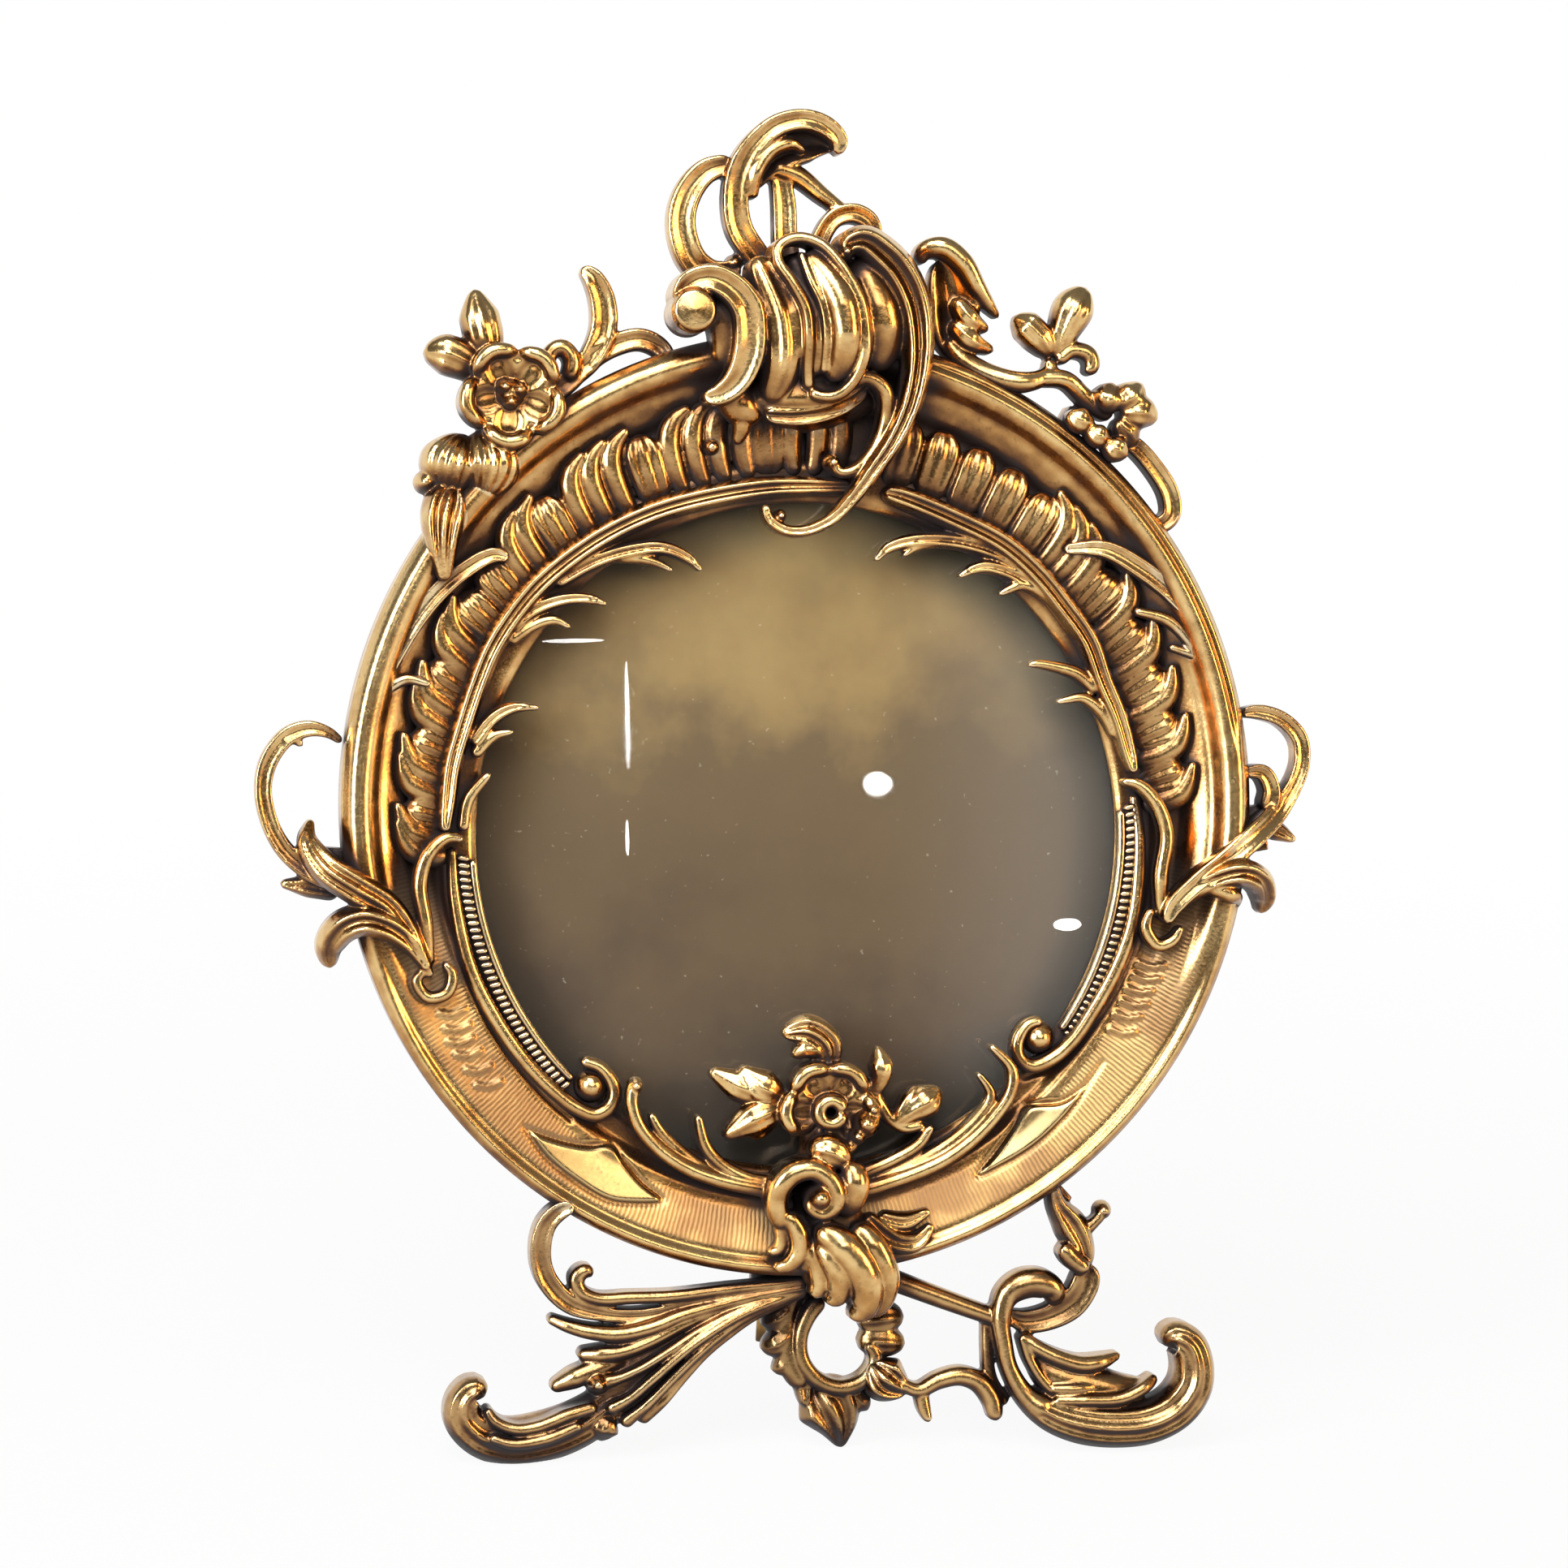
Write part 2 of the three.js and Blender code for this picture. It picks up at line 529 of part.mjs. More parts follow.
const SIDE_LEFT = {
  degrees: 180,
  grid: SIDE_GRID,
  straps: [
    { path: [[2, 12], [-1, 14], [-5, 14.6], [-9, 13], [-12.3, 9], [-13.4, 3.5], [-12, -3], [-9, -8.5],
      [-4, -12.5],
      [1, -14.5]], width: [2, 2.5, 3.4, 3.6, 3.6, 3.4, 3.4, 3.6, 4, 4], back: 3, rise: 6 },
    { path: [[-4.5, -2.5], [-5, -6.5], [-2, -11.5], [4, -15.5], [10, -19.5], [14.5, -26], [18, -33]],
      width: [1.6, 4, 5.5, 6, 5.5, 4.5, 2], back: [4, 5, 6, 9, 9], rise: [5, 8, 11, 7, 6] },
    { path: [[-10.5, -15], [-5, -15.3], [1, -16]], width: [1.6, 4.4, 4.4], back: 2, rise: 5 },
    { path: [[17.5, -31], [14, -26], [9, -22.8], [3.5, -22], [-0.5, -25], [-1.5, -31]],
      width: [3, 4.5, 5.5, 6, 5.5, 2], back: [9, 9, 9, 8, 4, 3], rise: [6, 6, 7, 9, 8, 6] },
    { path: [[17.5, -31], [16.5, -22], [15.8, -15], [17, -10], [20.5, -7]], width: [3, 3, 3, 3, 2],
      back: 9, rise: 6.5 },
    { path: [[17.4, -30.5], [15, -33.5], [17, -36.6], [20.6, -36.4], [22, -32.5]],
      width: [2, 2.6, 2.6, 2.6, 2],
      back: 8, rise: 7.5 },
  ],
  domes: [],
};

const SIDE_RIGHT = {
  degrees: 0,
  grid: SIDE_GRID,
  straps: [
    { path: [[-2.5, 17.5], [2, 17.8], [6.5, 16.2], [9.6, 12.5], [10, 8], [8, 2.6], [4, -2.3], [-1, -6.5],
      [-7, -11.5],
      [-12.5, -15.5], [-17, -20], [-18.5, -24]],
      width: [2, 3, 3.2, 3.4, 3.4, 3.6, 4.6, 5, 4.6, 4, 3.4, 2], back: [3, 3, 3, 3, 5, 9, 9],
      rise: [6, 6, 6, 7, 11, 7, 6] },
    { path: [[-2, 6], [2, 5.6], [3.6, 2], [2, -3]], width: [2, 4, 4, 4], back: 4, rise: 7 },
    { path: [[2, -4], [6, -5.7], [9.5, -7.6]], width: [4, 4, 1.6], back: 3, rise: 5 },
    { path: [[-17, -21], [-12.5, -17.5], [-7.5, -15], [-2.5, -14.5], [1.5, -17], [2.4, -22]],
      width: [3, 4.5, 5.5, 6, 5, 2], back: [9, 9, 9, 7, 4, 3], rise: [6, 7, 8, 10, 8, 6] },
    { path: [[-18.5, -22], [-19, -14], [-18, -6], [-18.6, -2], [-21, 1]], width: [3, 3, 3, 3, 2],
      back: 9, rise: 6.5 },
    { path: [[-18.6, -20.5], [-21.6, -24], [-19.6, -27.6], [-16.4, -26.4], [-15, -23]],
      width: [2, 2.6, 2.6, 2.6, 2],
      back: 8, rise: 7.5 },
  ],
  domes: [],
};

const LOWER_ROSE = flower([4.5, 34.5], 9, 9, 7, 5, 54);
const CLASP = {
  degrees: 270,
  straps: [
    ...LOWER_ROSE.straps,
    { path: [[5, 40], [5, 46.5], [0.5, 50], [-4, 49]], width: [4, 6, 4.5, 1.4], back: 9, rise: 5 },
    { path: [[-1, 36], [-8, 38], [-13, 40.5], [-18, 42]], width: [4, 6.5, 6, 1.4], back: 9, rise: 5 },
    { path: [[-1, 33], [-9, 33], [-15.5, 29.5]], width: [4, 6, 1.4], back: 9, rise: 5 },
    { path: [[9, 40], [14, 36], [19.5, 31.5], [23, 35], [27.3, 38.6]], width: [2, 2.4, 3, 6, 1.8],
      back: 9, rise: 5 },
    { path: [[14, 35], [16.6, 40], [15.2, 46.2]], width: [2, 4.4, 1.2], back: 9, rise: 5 },
    { path: [[4.5, 34], [4, 25], [5, 13], [7, 2], [8, -5]], width: [7, 11, 16, 20, 14], back: 10.5,
      rise: [5, 6, 6, 6, 5] },
    { path: [[5.5, 28], [9, 24], [10, 20], [7.5, 15.5]], width: [4, 5, 5, 4], back: 11, rise: 10 },
    { path: [[0, 22.6], [-4.6, 19.5], [-4.3, 15], [-3, 10.5], [-4.5, 7.5], [-8, 7]],
      width: [3, 4, 4, 4.4, 3.6, 2],
      back: 10, rise: [12, 11, 9, 8, 7] },
    { path: [[-3, 15], [0, 9.5], [-0.5, 5.5], [-3, 3.4], [-6, 3.2]], width: [4, 4.4, 4.4, 3.4, 2],
      back: 10.5, rise: 8 },
    { path: [[2, 13], [6, 6], [7, 1], [5, -4]], width: [5, 6, 6, 5], back: 10.6, rise: [10, 11, 10, 7] },
    { path: [[6, 12], [11, 6], [13.6, 0], [12, -6]], width: [5, 6, 7, 6], back: 10.6,
      rise: [10, 12, 11, 7] },
    { path: [[9, 11], [15.5, 5.5], [18, 0], [16.5, -5]], width: [4, 5, 5, 4], back: 10.6,
      rise: [9, 10, 9, 6] },
    { path: [[-2, 17], [-8, 18.3], [-15, 19.8], [-22, 22.3], [-28, 26.3], [-32, 31], [-33.3, 36],
      [-32.5, 39.5]],
      width: [4, 3, 2.8, 2.6, 2.4, 2.2, 2.2, 2.8], back: 10, rise: 5 },
    { path: [[-13, 19.5], [-19, 22.5], [-24, 26], [-28, 30], [-29.8, 33.4]], width: [3, 2.6, 2.4, 2.2, 1.4],
      back: 10, rise: 4 },
    { path: [[-7, 18.3], [-14, 21.5], [-18, 25], [-19.9, 28.5], [-20, 32.4]],
      width: [3, 2.6, 2.4, 2.4, 1.8],
      back: 10, rise: 4 },
    { path: [[8, 17], [15, 18.6], [27, 23], [33, 27], [38, 32], [41, 36.5], [41.4, 41], [37, 46]],
      width: [4, 3.2, 3, 2.8, 2.6, 2.4, 2.2, 1.2], back: 10, rise: 5 },
    { path: [[14, 19], [22, 22.6], [30, 27.4], [35, 32], [37.4, 36], [34.6, 40.6]],
      width: [3, 2.8, 2.6, 2.4, 2.2, 1.2],
      back: 10, rise: 4 },
    { path: [[12, 18.4], [18, 20.5], [24, 23.5], [27, 27], [27, 31.4]],
      width: [3, 2.6, 2.4, 2.2, 1.4], back: 10, rise: 4 },
  ],
  domes: [
    { centre: [5.5, 27.2], radius: 4.2, back: 12, rise: 9 },
    { centre: [2.2, 18.5], radius: 5.4, back: 10.5, rise: 13 },
    ...LOWER_ROSE.domes,
  ],
};

const FOOT_LEFT = {
  degrees: 270,
  grid: FOOT_GRID,
  straps: [
    { path: [[-46.5, 18], [-49.6, 14], [-51.6, 8.5], [-51, 2.5], [-48, -2], [-43.5, -4.8], [-37, -5.8],
      [-27, -4.5],
      [-15, -2.5], [-4, -1]], width: [3, 3.5, 4, 4.4, 5, 6, 6.5, 6, 5, 4], back: [4, 3, 3, 3, 3], rise: 7 },
    { path: [[-42.4, 4.4], [-42.4, 0.8], [-39, -1.8], [-30, -2.4]], width: [1.4, 3, 3.4, 3],
      back: 3.5, rise: 6 },
    { path: [[-2.5, -2.4], [-10, -3.6], [-20, -8], [-28, -14], [-35, -20.5], [-42, -26], [-50, -29.6],
      [-57.5, -30.8],
      [-63, -29], [-65.6, -24.5], [-64.5, -19.5]],
      width: [5, 7, 10, 13, 17, 14, 10, 9, 8, 6.4, 5], back: 3, rise: [6, 7, 8, 9, 9, 8, 8, 8, 9, 9, 8] },
    { path: [[-36, -6], [-40, -9], [-43.4, -12.6]], width: [5, 5, 1.8], back: 3, rise: 7 },
    { path: [[-36, -16], [-42, -18.6], [-48.4, -19.6]], width: [7, 6.5, 2.4], back: 3, rise: 8 },
    { path: [[-33, -20], [-34.5, -25.5], [-37, -30]], width: [8, 7, 2], back: 3, rise: 7 },
  ],
  domes: [{ centre: [-64, -20], radius: 3.4, back: 3, rise: 9 }],
};

const FOOT_RIGHT = {
  degrees: 270,
  grid: FOOT_GRID,
  straps: [
    { path: [[49.5, -4.6], [47, -1.6], [42, -3], [39.6, -8], [40.2, -15], [43.4, -21.6], [48.6, -27],
      [55, -30],
      [63, -31], [70, -30], [75.6, -27], [79, -22], [79.4, -16.5], [77, -12]],
      width: [2, 2.6, 3, 3.2, 4, 5.5, 7, 8, 8.8, 8.8, 8, 7, 6, 5], back: 3,
      rise: [5, 6, 6, 6, 7, 8, 8, 8, 8, 9, 9, 9, 9, 7] },
    { path: [[43, -13], [48, -15.4], [54, -18], [60, -18.4], [64.6, -16.4]],
      width: [3, 4.6, 4.8, 4, 1.4], back: 3, rise: 6 },
    { path: [[45, -22.4], [53, -22], [62, -23.4]], width: [6, 6, 1.8], back: 3, rise: 6 },
    { path: [[50, 19], [52, 14], [55, 8], [57, 3], [58, -1.5], [56, -5.2], [51.5, -7], [45.5, -4.4]],
      width: [3.5, 5, 6, 5, 5, 5, 5, 4], back: [4, 3, 3], rise: 7 },
    { path: [[54.6, 7.6], [58, 10.5], [61.4, 13.4]], width: [3.4, 2.6, 3.4], back: 4, rise: 4.5 },
    { path: [[13, 2], [28, -2.5], [41, -7.2]], width: [4.8, 4.2, 3.8], back: 3, rise: 5 },
    { path: [[18.5, -22], [24, -20.6], [30, -18.7], [36, -19], [41, -22]], width: [2.4, 3, 3, 3.4, 4],
      back: 3, rise: 5 },
    { path: [[36, -19], [39, -22.5], [39.4, -28.4]], width: [3, 4, 3], back: 3, rise: 5 },
    { path: [[24, -20.6], [23.4, -25], [26, -28.4]], width: [2.4, 3, 1.6], back: 3, rise: 4.5 },
  ],
  domes: [],
};

const PENDANT = {
  degrees: 270,
  grid: FOOT_GRID,
  straps: [
    { path: [[-2, 0], [-3.2, -6], [-3.2, -12], [-1, -17], [3, -20.5], [8, -21], [12.4, -18.5],
      [13.6, -14], [11.4, -10.6]],
      width: [6, 6, 6, 6, 6, 5.6, 5, 4.6, 4], back: 0, rise: 6.5 },
    { path: [[-3, -6], [-8.6, -9]], width: [5, 2], back: 0, rise: 5.5 },
    { path: [[-3, -12], [-9, -15]], width: [5.4, 2], back: 0, rise: 5.5 },
    { path: [[2, -18], [5, -26], [8.6, -33]], width: [9, 9, 1.8], back: 0, rise: 6 },
    { path: [[0, -19], [-1, -25.6]], width: [5, 1.8], back: 0, rise: 5 },
    { path: [[9, -19], [14.6, -26]], width: [7, 2.2], back: 0, rise: 5 },
    { path: [[12.6, -13], [14.6, -8.5], [18.5, -8]], width: [5, 7, 5], back: 0, rise: 6.5 },
  ],
  domes: [],
};

function ornament({ degrees, grid = RING_GRID, straps, domes }, grow = 0) {
  return cluster({ place: rimPoint(radians(degrees), ANCHOR_LIFT), grid }, straps, domes, grow);
}

// The table top, as a block to cut soles flat
function floorBlock() {
  const size = 4 * RING_HALF_HEIGHT;
  const block = new THREE.BoxGeometry(size, size, size);
  block.translate(0, 0, -size / 2 - FLOOR_RISE);
  return solidOf(block.rotateX(LEAN - Math.PI / 2));
}

const FLOOR = floorBlock();

function addOrnaments() {
  const finial = join(ornament(FINIAL), tang(90, 'finial_screw', FINIAL_LUG));
  addPart('crest_finial', cut(finial, RING_SPACE), BRASS);

  const crestHoles = [84, 95].map((degrees, i) => (
    frontFixing(degrees, CREST_SCREW_FROM_RIM, `crest_screw_${i + 1}`, CREST_SCREW_TIP)));
  const crest = cut(ornament(CREST), RING_SPACE, ornament(FINIAL, CLEARANCE), ...crestHoles);
  addPart('crest_cartouche', crest, BRASS);

  const sprayLeft = join(ornament(SPRAY_LEFT), tang(128, 'spray_screw_left'));
  addPart('rose_spray_left', cut(sprayLeft, RING_SPACE, ornament(CREST, CLEARANCE)), BRASS);
  const sprayRight = join(ornament(SPRAY_RIGHT), tang(53, 'spray_screw_right'));
  addPart('bellflower_spray_right', cut(sprayRight, RING_SPACE, ornament(CREST, CLEARANCE)), BRASS);

  const sideLeft = join(ornament(SIDE_LEFT), tang(188, 'side_screw_left'));
  addPart('side_scroll_left', cut(sideLeft, RING_SPACE), BRASS);
  const sideRight = join(ornament(SIDE_RIGHT), tang(-3.5, 'side_screw_right'));
  addPart('side_scroll_right', cut(sideRight, RING_SPACE), BRASS);

  const claspHole = frontFixing(277, SCREW_FROM_RIM, 'clasp_screw', CLASP_SCREW_TIP);
  addPart('rose_clasp', cut(ornament(CLASP), RING_SPACE, claspHole), BRASS);

  const claspSpace = ornament(CLASP, CLEARANCE);
  const footLeft = join(ornament(FOOT_LEFT), tang(258, 'foot_screw_left'));
  addPart('foot_left', cut(footLeft, RING_SPACE, claspSpace, FLOOR), BRASS);
  const footTangs = [284, 304.4].map((degrees, i) => tang(degrees, `foot_screw_right_${i + 1}`));
  const footRight = join(ornament(FOOT_RIGHT), ...footTangs);
  addPart('foot_right', cut(footRight, RING_SPACE, claspSpace, FLOOR), BRASS);

  const feetSpace = [ornament(FOOT_LEFT, CLEARANCE), ornament(FOOT_RIGHT, CLEARANCE)];
  const pendant = join(ornament(PENDANT), tang(268.5, 'pendant_screw', PENDANT_LUG));
  addPart('pendant', cut(pendant, RING_SPACE, claspSpace, ...feetSpace), BRASS);
}

// The picture stack in the rebate, front to back
function addPictureStack() {
  const inRebate = bandOutline(REBATE_WIDTH - REBATE_SLACK);
  let front = REBATE_DEPTH - CLEARANCE;
  const layers = [
    ['glass_pane', GLASS_THICKNESS, GLASS],
    ['photo_card', CARD_THICKNESS, CARD],
    ['backing_board', BOARD_THICKNESS, BOARD],
  ];
  for (const [name, thickness, finish] of layers) {
    addPart(name, plate(inRebate, front - thickness, thickness), finish);
    front -= thickness + CLEARANCE;
  }
}

// Turn buttons on the ring's flange hold the back plate in
function addTurnButtons() {
  BUTTON_DEGREES.forEach((degrees, i) => {
    const turn = radians(degrees);
    const centre = bandPoint(turn, 0, BUTTON_FROM_SIGHT);
    const inward = sightPoint(turn).sub(centre).normalize();
    const heading = Math.atan2(inward.y, inward.x);
    const outline = new THREE.Shape();
    outline.absarc(centre.x, centre.y, BUTTON_RADIUS, heading + Math.PI / 2, heading - Math.PI / 2, false);
    const nose = centre.clone().addScaledVector(inward, BUTTON_LENGTH - BUTTON_RADIUS / 2);
    outline.absarc(nose.x, nose.y, BUTTON_RADIUS / 2, heading - Math.PI / 2, heading + Math.PI / 2, false);
    const blade = new THREE.ExtrudeGeometry(outline, {
      depth: BUTTON_THICKNESS, bevelEnabled: false, curveSegments: ROUND_SEGMENTS / 2,
    });
    const back = PLATE_BACK - CLEARANCE - BUTTON_THICKNESS;
    const hub = rod(centre, BUTTON_RADIUS - CLEARANCE / 2, back, -CLEARANCE);
    const hole = rod(centre, SCREW_RADIUS + CLEARANCE, back - OVERCUT, OVERCUT);
    const blank = join(solidOf(blade.translate(0, 0, back)), hub);
    addPart(`turn_button_${i + 1}`, cut(blank, hole), DARK_BRASS);
    const head = back - CLEARANCE - SCREW_HEAD_HEIGHT;
    addPart(`turn_button_screw_${i + 1}`, screwSolid(centre, head, BUTTON_SCREW_DEPTH), STEEL);
    screwHoles.push(rod(centre, SCREW_RADIUS + CLEARANCE, -OVERCUT, BUTTON_SCREW_DEPTH + CLEARANCE));
  });
}

// Hinge parts lie along x at the hinge line
function alongX(radius, length, centreX = 0) {
  const geometry = new THREE.CylinderGeometry(radius, radius, length, ROUND_SEGMENTS).rotateZ(Math.PI / 2);
  return solidOf(geometry.translate(centreX, HINGE_HEIGHT, HINGE_DEPTH));
}

function block(width, height, depth, x, y, z) {
  return solidOf(new THREE.BoxGeometry(width, height, depth).translate(x, y, z));
}

function addBackPlateAndHinge() {
  const rivetX = LEAF_WIDTH / 2 - RIVET_INSET;
  const rivetY = HINGE_HEIGHT - LEAF_HEIGHT / 4;
  const rivets = [-1, 1].map((side) => new THREE.Vector2(side * rivetX, rivetY));
  const leafBack = PLATE_BACK - CLEARANCE - LEAF_THICKNESS;
  const rivetHoles = rivets.map((centre) => (
    rod(centre, RIVET_RADIUS + CLEARANCE, leafBack - OVERCUT, OVERCUT)));
  const backPlate = plate(bandOutline(REBATE_WIDTH + PLATE_LAP), PLATE_BACK, PLATE_THICKNESS);
  addPart('back_plate', cut(backPlate, ...rivetHoles), SHEET_BRASS);

  const barrelX = STRUT_BARREL_LENGTH / 2 + CLEARANCE + BARREL_LENGTH / 2;
  const pinHole = alongX(PIN_RADIUS + CLEARANCE, 2 * LEAF_WIDTH);
  const leafMiddle = leafBack + LEAF_THICKNESS / 2;
  const leafPlate = block(LEAF_WIDTH, LEAF_HEIGHT, LEAF_THICKNESS, 0, HINGE_HEIGHT, leafMiddle);
  const webDepth = leafBack - HINGE_DEPTH + LEAF_THICKNESS / 2;
  const webMiddle = HINGE_DEPTH + webDepth / 2;
  const barrels = [-1, 1].flatMap((side) => [
    alongX(BARREL_RADIUS, BARREL_LENGTH, side * barrelX),
    block(BARREL_LENGTH, 2 * BARREL_RADIUS, webDepth, side * barrelX, HINGE_HEIGHT, webMiddle),
  ]);
  addPart('hinge_leaf', cut(join(leafPlate, ...barrels), pinHole, ...rivetHoles), SHEET_BRASS);

  rivets.forEach((centre, i) => {
    const head = leafBack - CLEARANCE;
    addPart(`hinge_rivet_${i + 1}`, turned(centre, [
      [0, head - RIVET_HEAD_HEIGHT],
      [0.6 * RIVET_HEAD_RADIUS, head - 0.8 * RIVET_HEAD_HEIGHT],
      [RIVET_HEAD_RADIUS, head],
      [RIVET_RADIUS, head],
      [RIVET_RADIUS, -CLEARANCE],
      [0, -CLEARANCE],
    ]), DARK_BRASS);
  });

  addPart('hinge_pin', alongX(PIN_RADIUS, 2 * (barrelX + BARREL_LENGTH / 2 + PIN_END)), STEEL);
  addStrut(leafBack, pinHole);
}

// The strut hangs from the hinge line, opened until its heel meets the hinge leaf, and is cut flat below.
// It is a slim bar set off to the right, out of sight behind the pendant.
function addStrut(leafBack, pinHole) {
  const hingeRise = HINGE_HEIGHT * Math.cos(LEAN) + HINGE_DEPTH * Math.sin(LEAN) + FLOOR_RISE;
  const reach = hingeRise / Math.cos(STRUT_OPENING - LEAN);
  const half = STRUT_THICKNESS / 2;
  const heelGap = leafBack - HINGE_DEPTH - CLEARANCE - half * Math.cos(STRUT_OPENING);
  const heel = heelGap / Math.sin(STRUT_OPENING);
  const neck = STRUT_BARREL_LENGTH / 2;
  const shoulder = BARREL_RADIUS + 4 * CLEARANCE;
  const left = STRUT_OFFSET - STRUT_WIDTH / 2;
  const right = STRUT_OFFSET + STRUT_WIDTH / 2;
  const taperEnd = STRUT_TAPER * reach;
  const taperMiddle = taperEnd / 2;
  const outline = new THREE.Shape();
  outline.moveTo(-neck, heel);
  outline.lineTo(-neck, -shoulder);
  outline.bezierCurveTo(-neck, -taperMiddle, left, -taperMiddle, left, -taperEnd);
  outline.lineTo(left, -reach - SOLE_ALLOWANCE);
  outline.lineTo(right, -reach - SOLE_ALLOWANCE);
  outline.lineTo(right, -taperEnd);
  outline.bezierCurveTo(right, -taperMiddle, neck, -taperMiddle, neck, -shoulder);
  outline.lineTo(neck, heel);
  const blade = new THREE.ExtrudeGeometry(outline, {
    depth: STRUT_THICKNESS, bevelEnabled: false, curveSegments: STRUT_SEGMENTS,
  });
  blade.translate(0, 0, -half).rotateX(STRUT_OPENING).translate(0, HINGE_HEIGHT, HINGE_DEPTH);
  const strut = join(solidOf(blade), alongX(BARREL_RADIUS, STRUT_BARREL_LENGTH));
  addPart('strut', cut(strut, pinHole, FLOOR), SHEET_BRASS);
}

addOrnaments();
addPictureStack();
addTurnButtons();
addBackPlateAndHinge();
const casting = join(ringLoft([...FRONT_PROFILE, ...BACK_PROFILE]), ringRelief(), ...bosses);
addPart('ring_casting', cut(casting, ...screwHoles), BRASS);

// Lean the frame back and set the middle of its footprint at the origin
frame.rotation.x = Math.PI / 2 - LEAN;
frame.position.z = FLOOR_RISE;
const photoFrame = new THREE.Group();
photoFrame.add(frame);
photoFrame.updateMatrixWorld(true);
const middle = new THREE.Box3().setFromObject(photoFrame, true).getCenter(new THREE.Vector3());
frame.position.x = -middle.x;
frame.position.y = -middle.y;

export default photoFrame;
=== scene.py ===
import json
import math
from collections import namedtuple

import bmesh
import bpy
import numpy as np
from mathutils import Matrix, Vector

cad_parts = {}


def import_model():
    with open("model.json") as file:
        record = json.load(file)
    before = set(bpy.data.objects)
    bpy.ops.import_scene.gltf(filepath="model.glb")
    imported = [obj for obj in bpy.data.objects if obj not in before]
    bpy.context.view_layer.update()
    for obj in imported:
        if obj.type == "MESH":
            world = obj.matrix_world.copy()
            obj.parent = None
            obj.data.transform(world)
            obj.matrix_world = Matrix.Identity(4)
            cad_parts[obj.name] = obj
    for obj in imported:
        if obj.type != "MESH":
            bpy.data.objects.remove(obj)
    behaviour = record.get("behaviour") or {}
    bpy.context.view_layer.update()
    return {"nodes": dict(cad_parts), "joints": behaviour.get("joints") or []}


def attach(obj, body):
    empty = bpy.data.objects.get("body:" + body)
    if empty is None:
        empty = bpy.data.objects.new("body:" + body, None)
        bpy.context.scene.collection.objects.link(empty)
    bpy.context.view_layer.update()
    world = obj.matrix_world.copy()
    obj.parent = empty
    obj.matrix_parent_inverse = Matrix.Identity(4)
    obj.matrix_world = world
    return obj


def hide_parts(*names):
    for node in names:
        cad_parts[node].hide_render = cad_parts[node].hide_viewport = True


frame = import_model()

# Sizes in millimetres, drawn in the frame's own plane: u right, v up, w towards the viewer, from the ring's
# centre and its back. The record's joints say where that plane is.
MM = 0.001
RING_HALF = np.array([89.4, 92.0])
SIGHT_HALF = np.array([63.2, 65.0])
SIGHT_DROP = 6.0
ANCHOR_LIFT = 1.0
REBATE_WIDTH, REBATE_DEPTH, FLANGE_WIDTH, CASTING_WALL = 5.0, 6.0, 12.5, 3.0
PLATE_FRONT, PLATE_BACK, PLATE_LAP = -0.3, -1.3, 6.2
HINGE_HEIGHT, HINGE_DEPTH = 25.0, -6.0
STRUT_OPENING = math.radians(22)

# Castings are drawn as shells with stations a step apart, then fused into one skin of this fineness.
STATION_STEP = 0.5
VOXEL = 0.3

joints = {joint["name"]: joint for joint in frame["joints"]}
RIGHT = np.array(joints["strut_hinge"]["axis"], float)
NORMAL = np.array(joints["button_turn_1"]["axis"], float)
UP = np.cross(NORMAL, RIGHT)
AXES = np.array([RIGHT, UP, NORMAL])
CENTRE = np.array(joints["strut_hinge"]["pos_m"]) - MM * (HINGE_HEIGHT * UP + HINGE_DEPTH * NORMAL)
TO_WORLD = Matrix.Translation(CENTRE) @ Matrix(AXES.T).to_4x4() @ Matrix.Scale(MM, 4)


def world(u, v, w):
    return Vector(CENTRE + MM * (np.array([u, v, w]) @ AXES))


def plane_box(node):
    """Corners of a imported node's box in the frame's plane, in millimetres."""
    mesh = frame["nodes"][node].data
    places = np.empty(3 * len(mesh.vertices))
    mesh.vertices.foreach_get("co", places)
    flat = (places.reshape(-1, 3) - CENTRE) @ AXES.T / MM
    return flat.min(axis=0), flat.max(axis=0)


# Curves and closed shells. A shell is a pair: its points and its faces.
def spread(values, shares):
    """A number for each share of the way, from values laid evenly along it and eased between them."""
    values = np.atleast_1d(np.array(values, float))
    if len(values) < 3:
        return np.interp(shares, np.linspace(0, 1, len(values)), values)
    at = np.asarray(shares) * (len(values) - 1)
    i = np.minimum(at.astype(int), len(values) - 2)
    t = at - i
    padded = np.concatenate([values[:1], values, values[-1:]])
    a, b, c, d = (padded[i + k] for k in range(4))
    eased = b + 0.5 * t * (c - a + t * (2 * a - 5 * b + 4 * c - d + t * (3 * (b - c) + d - a)))
    return np.clip(eased, values.min(), values.max())


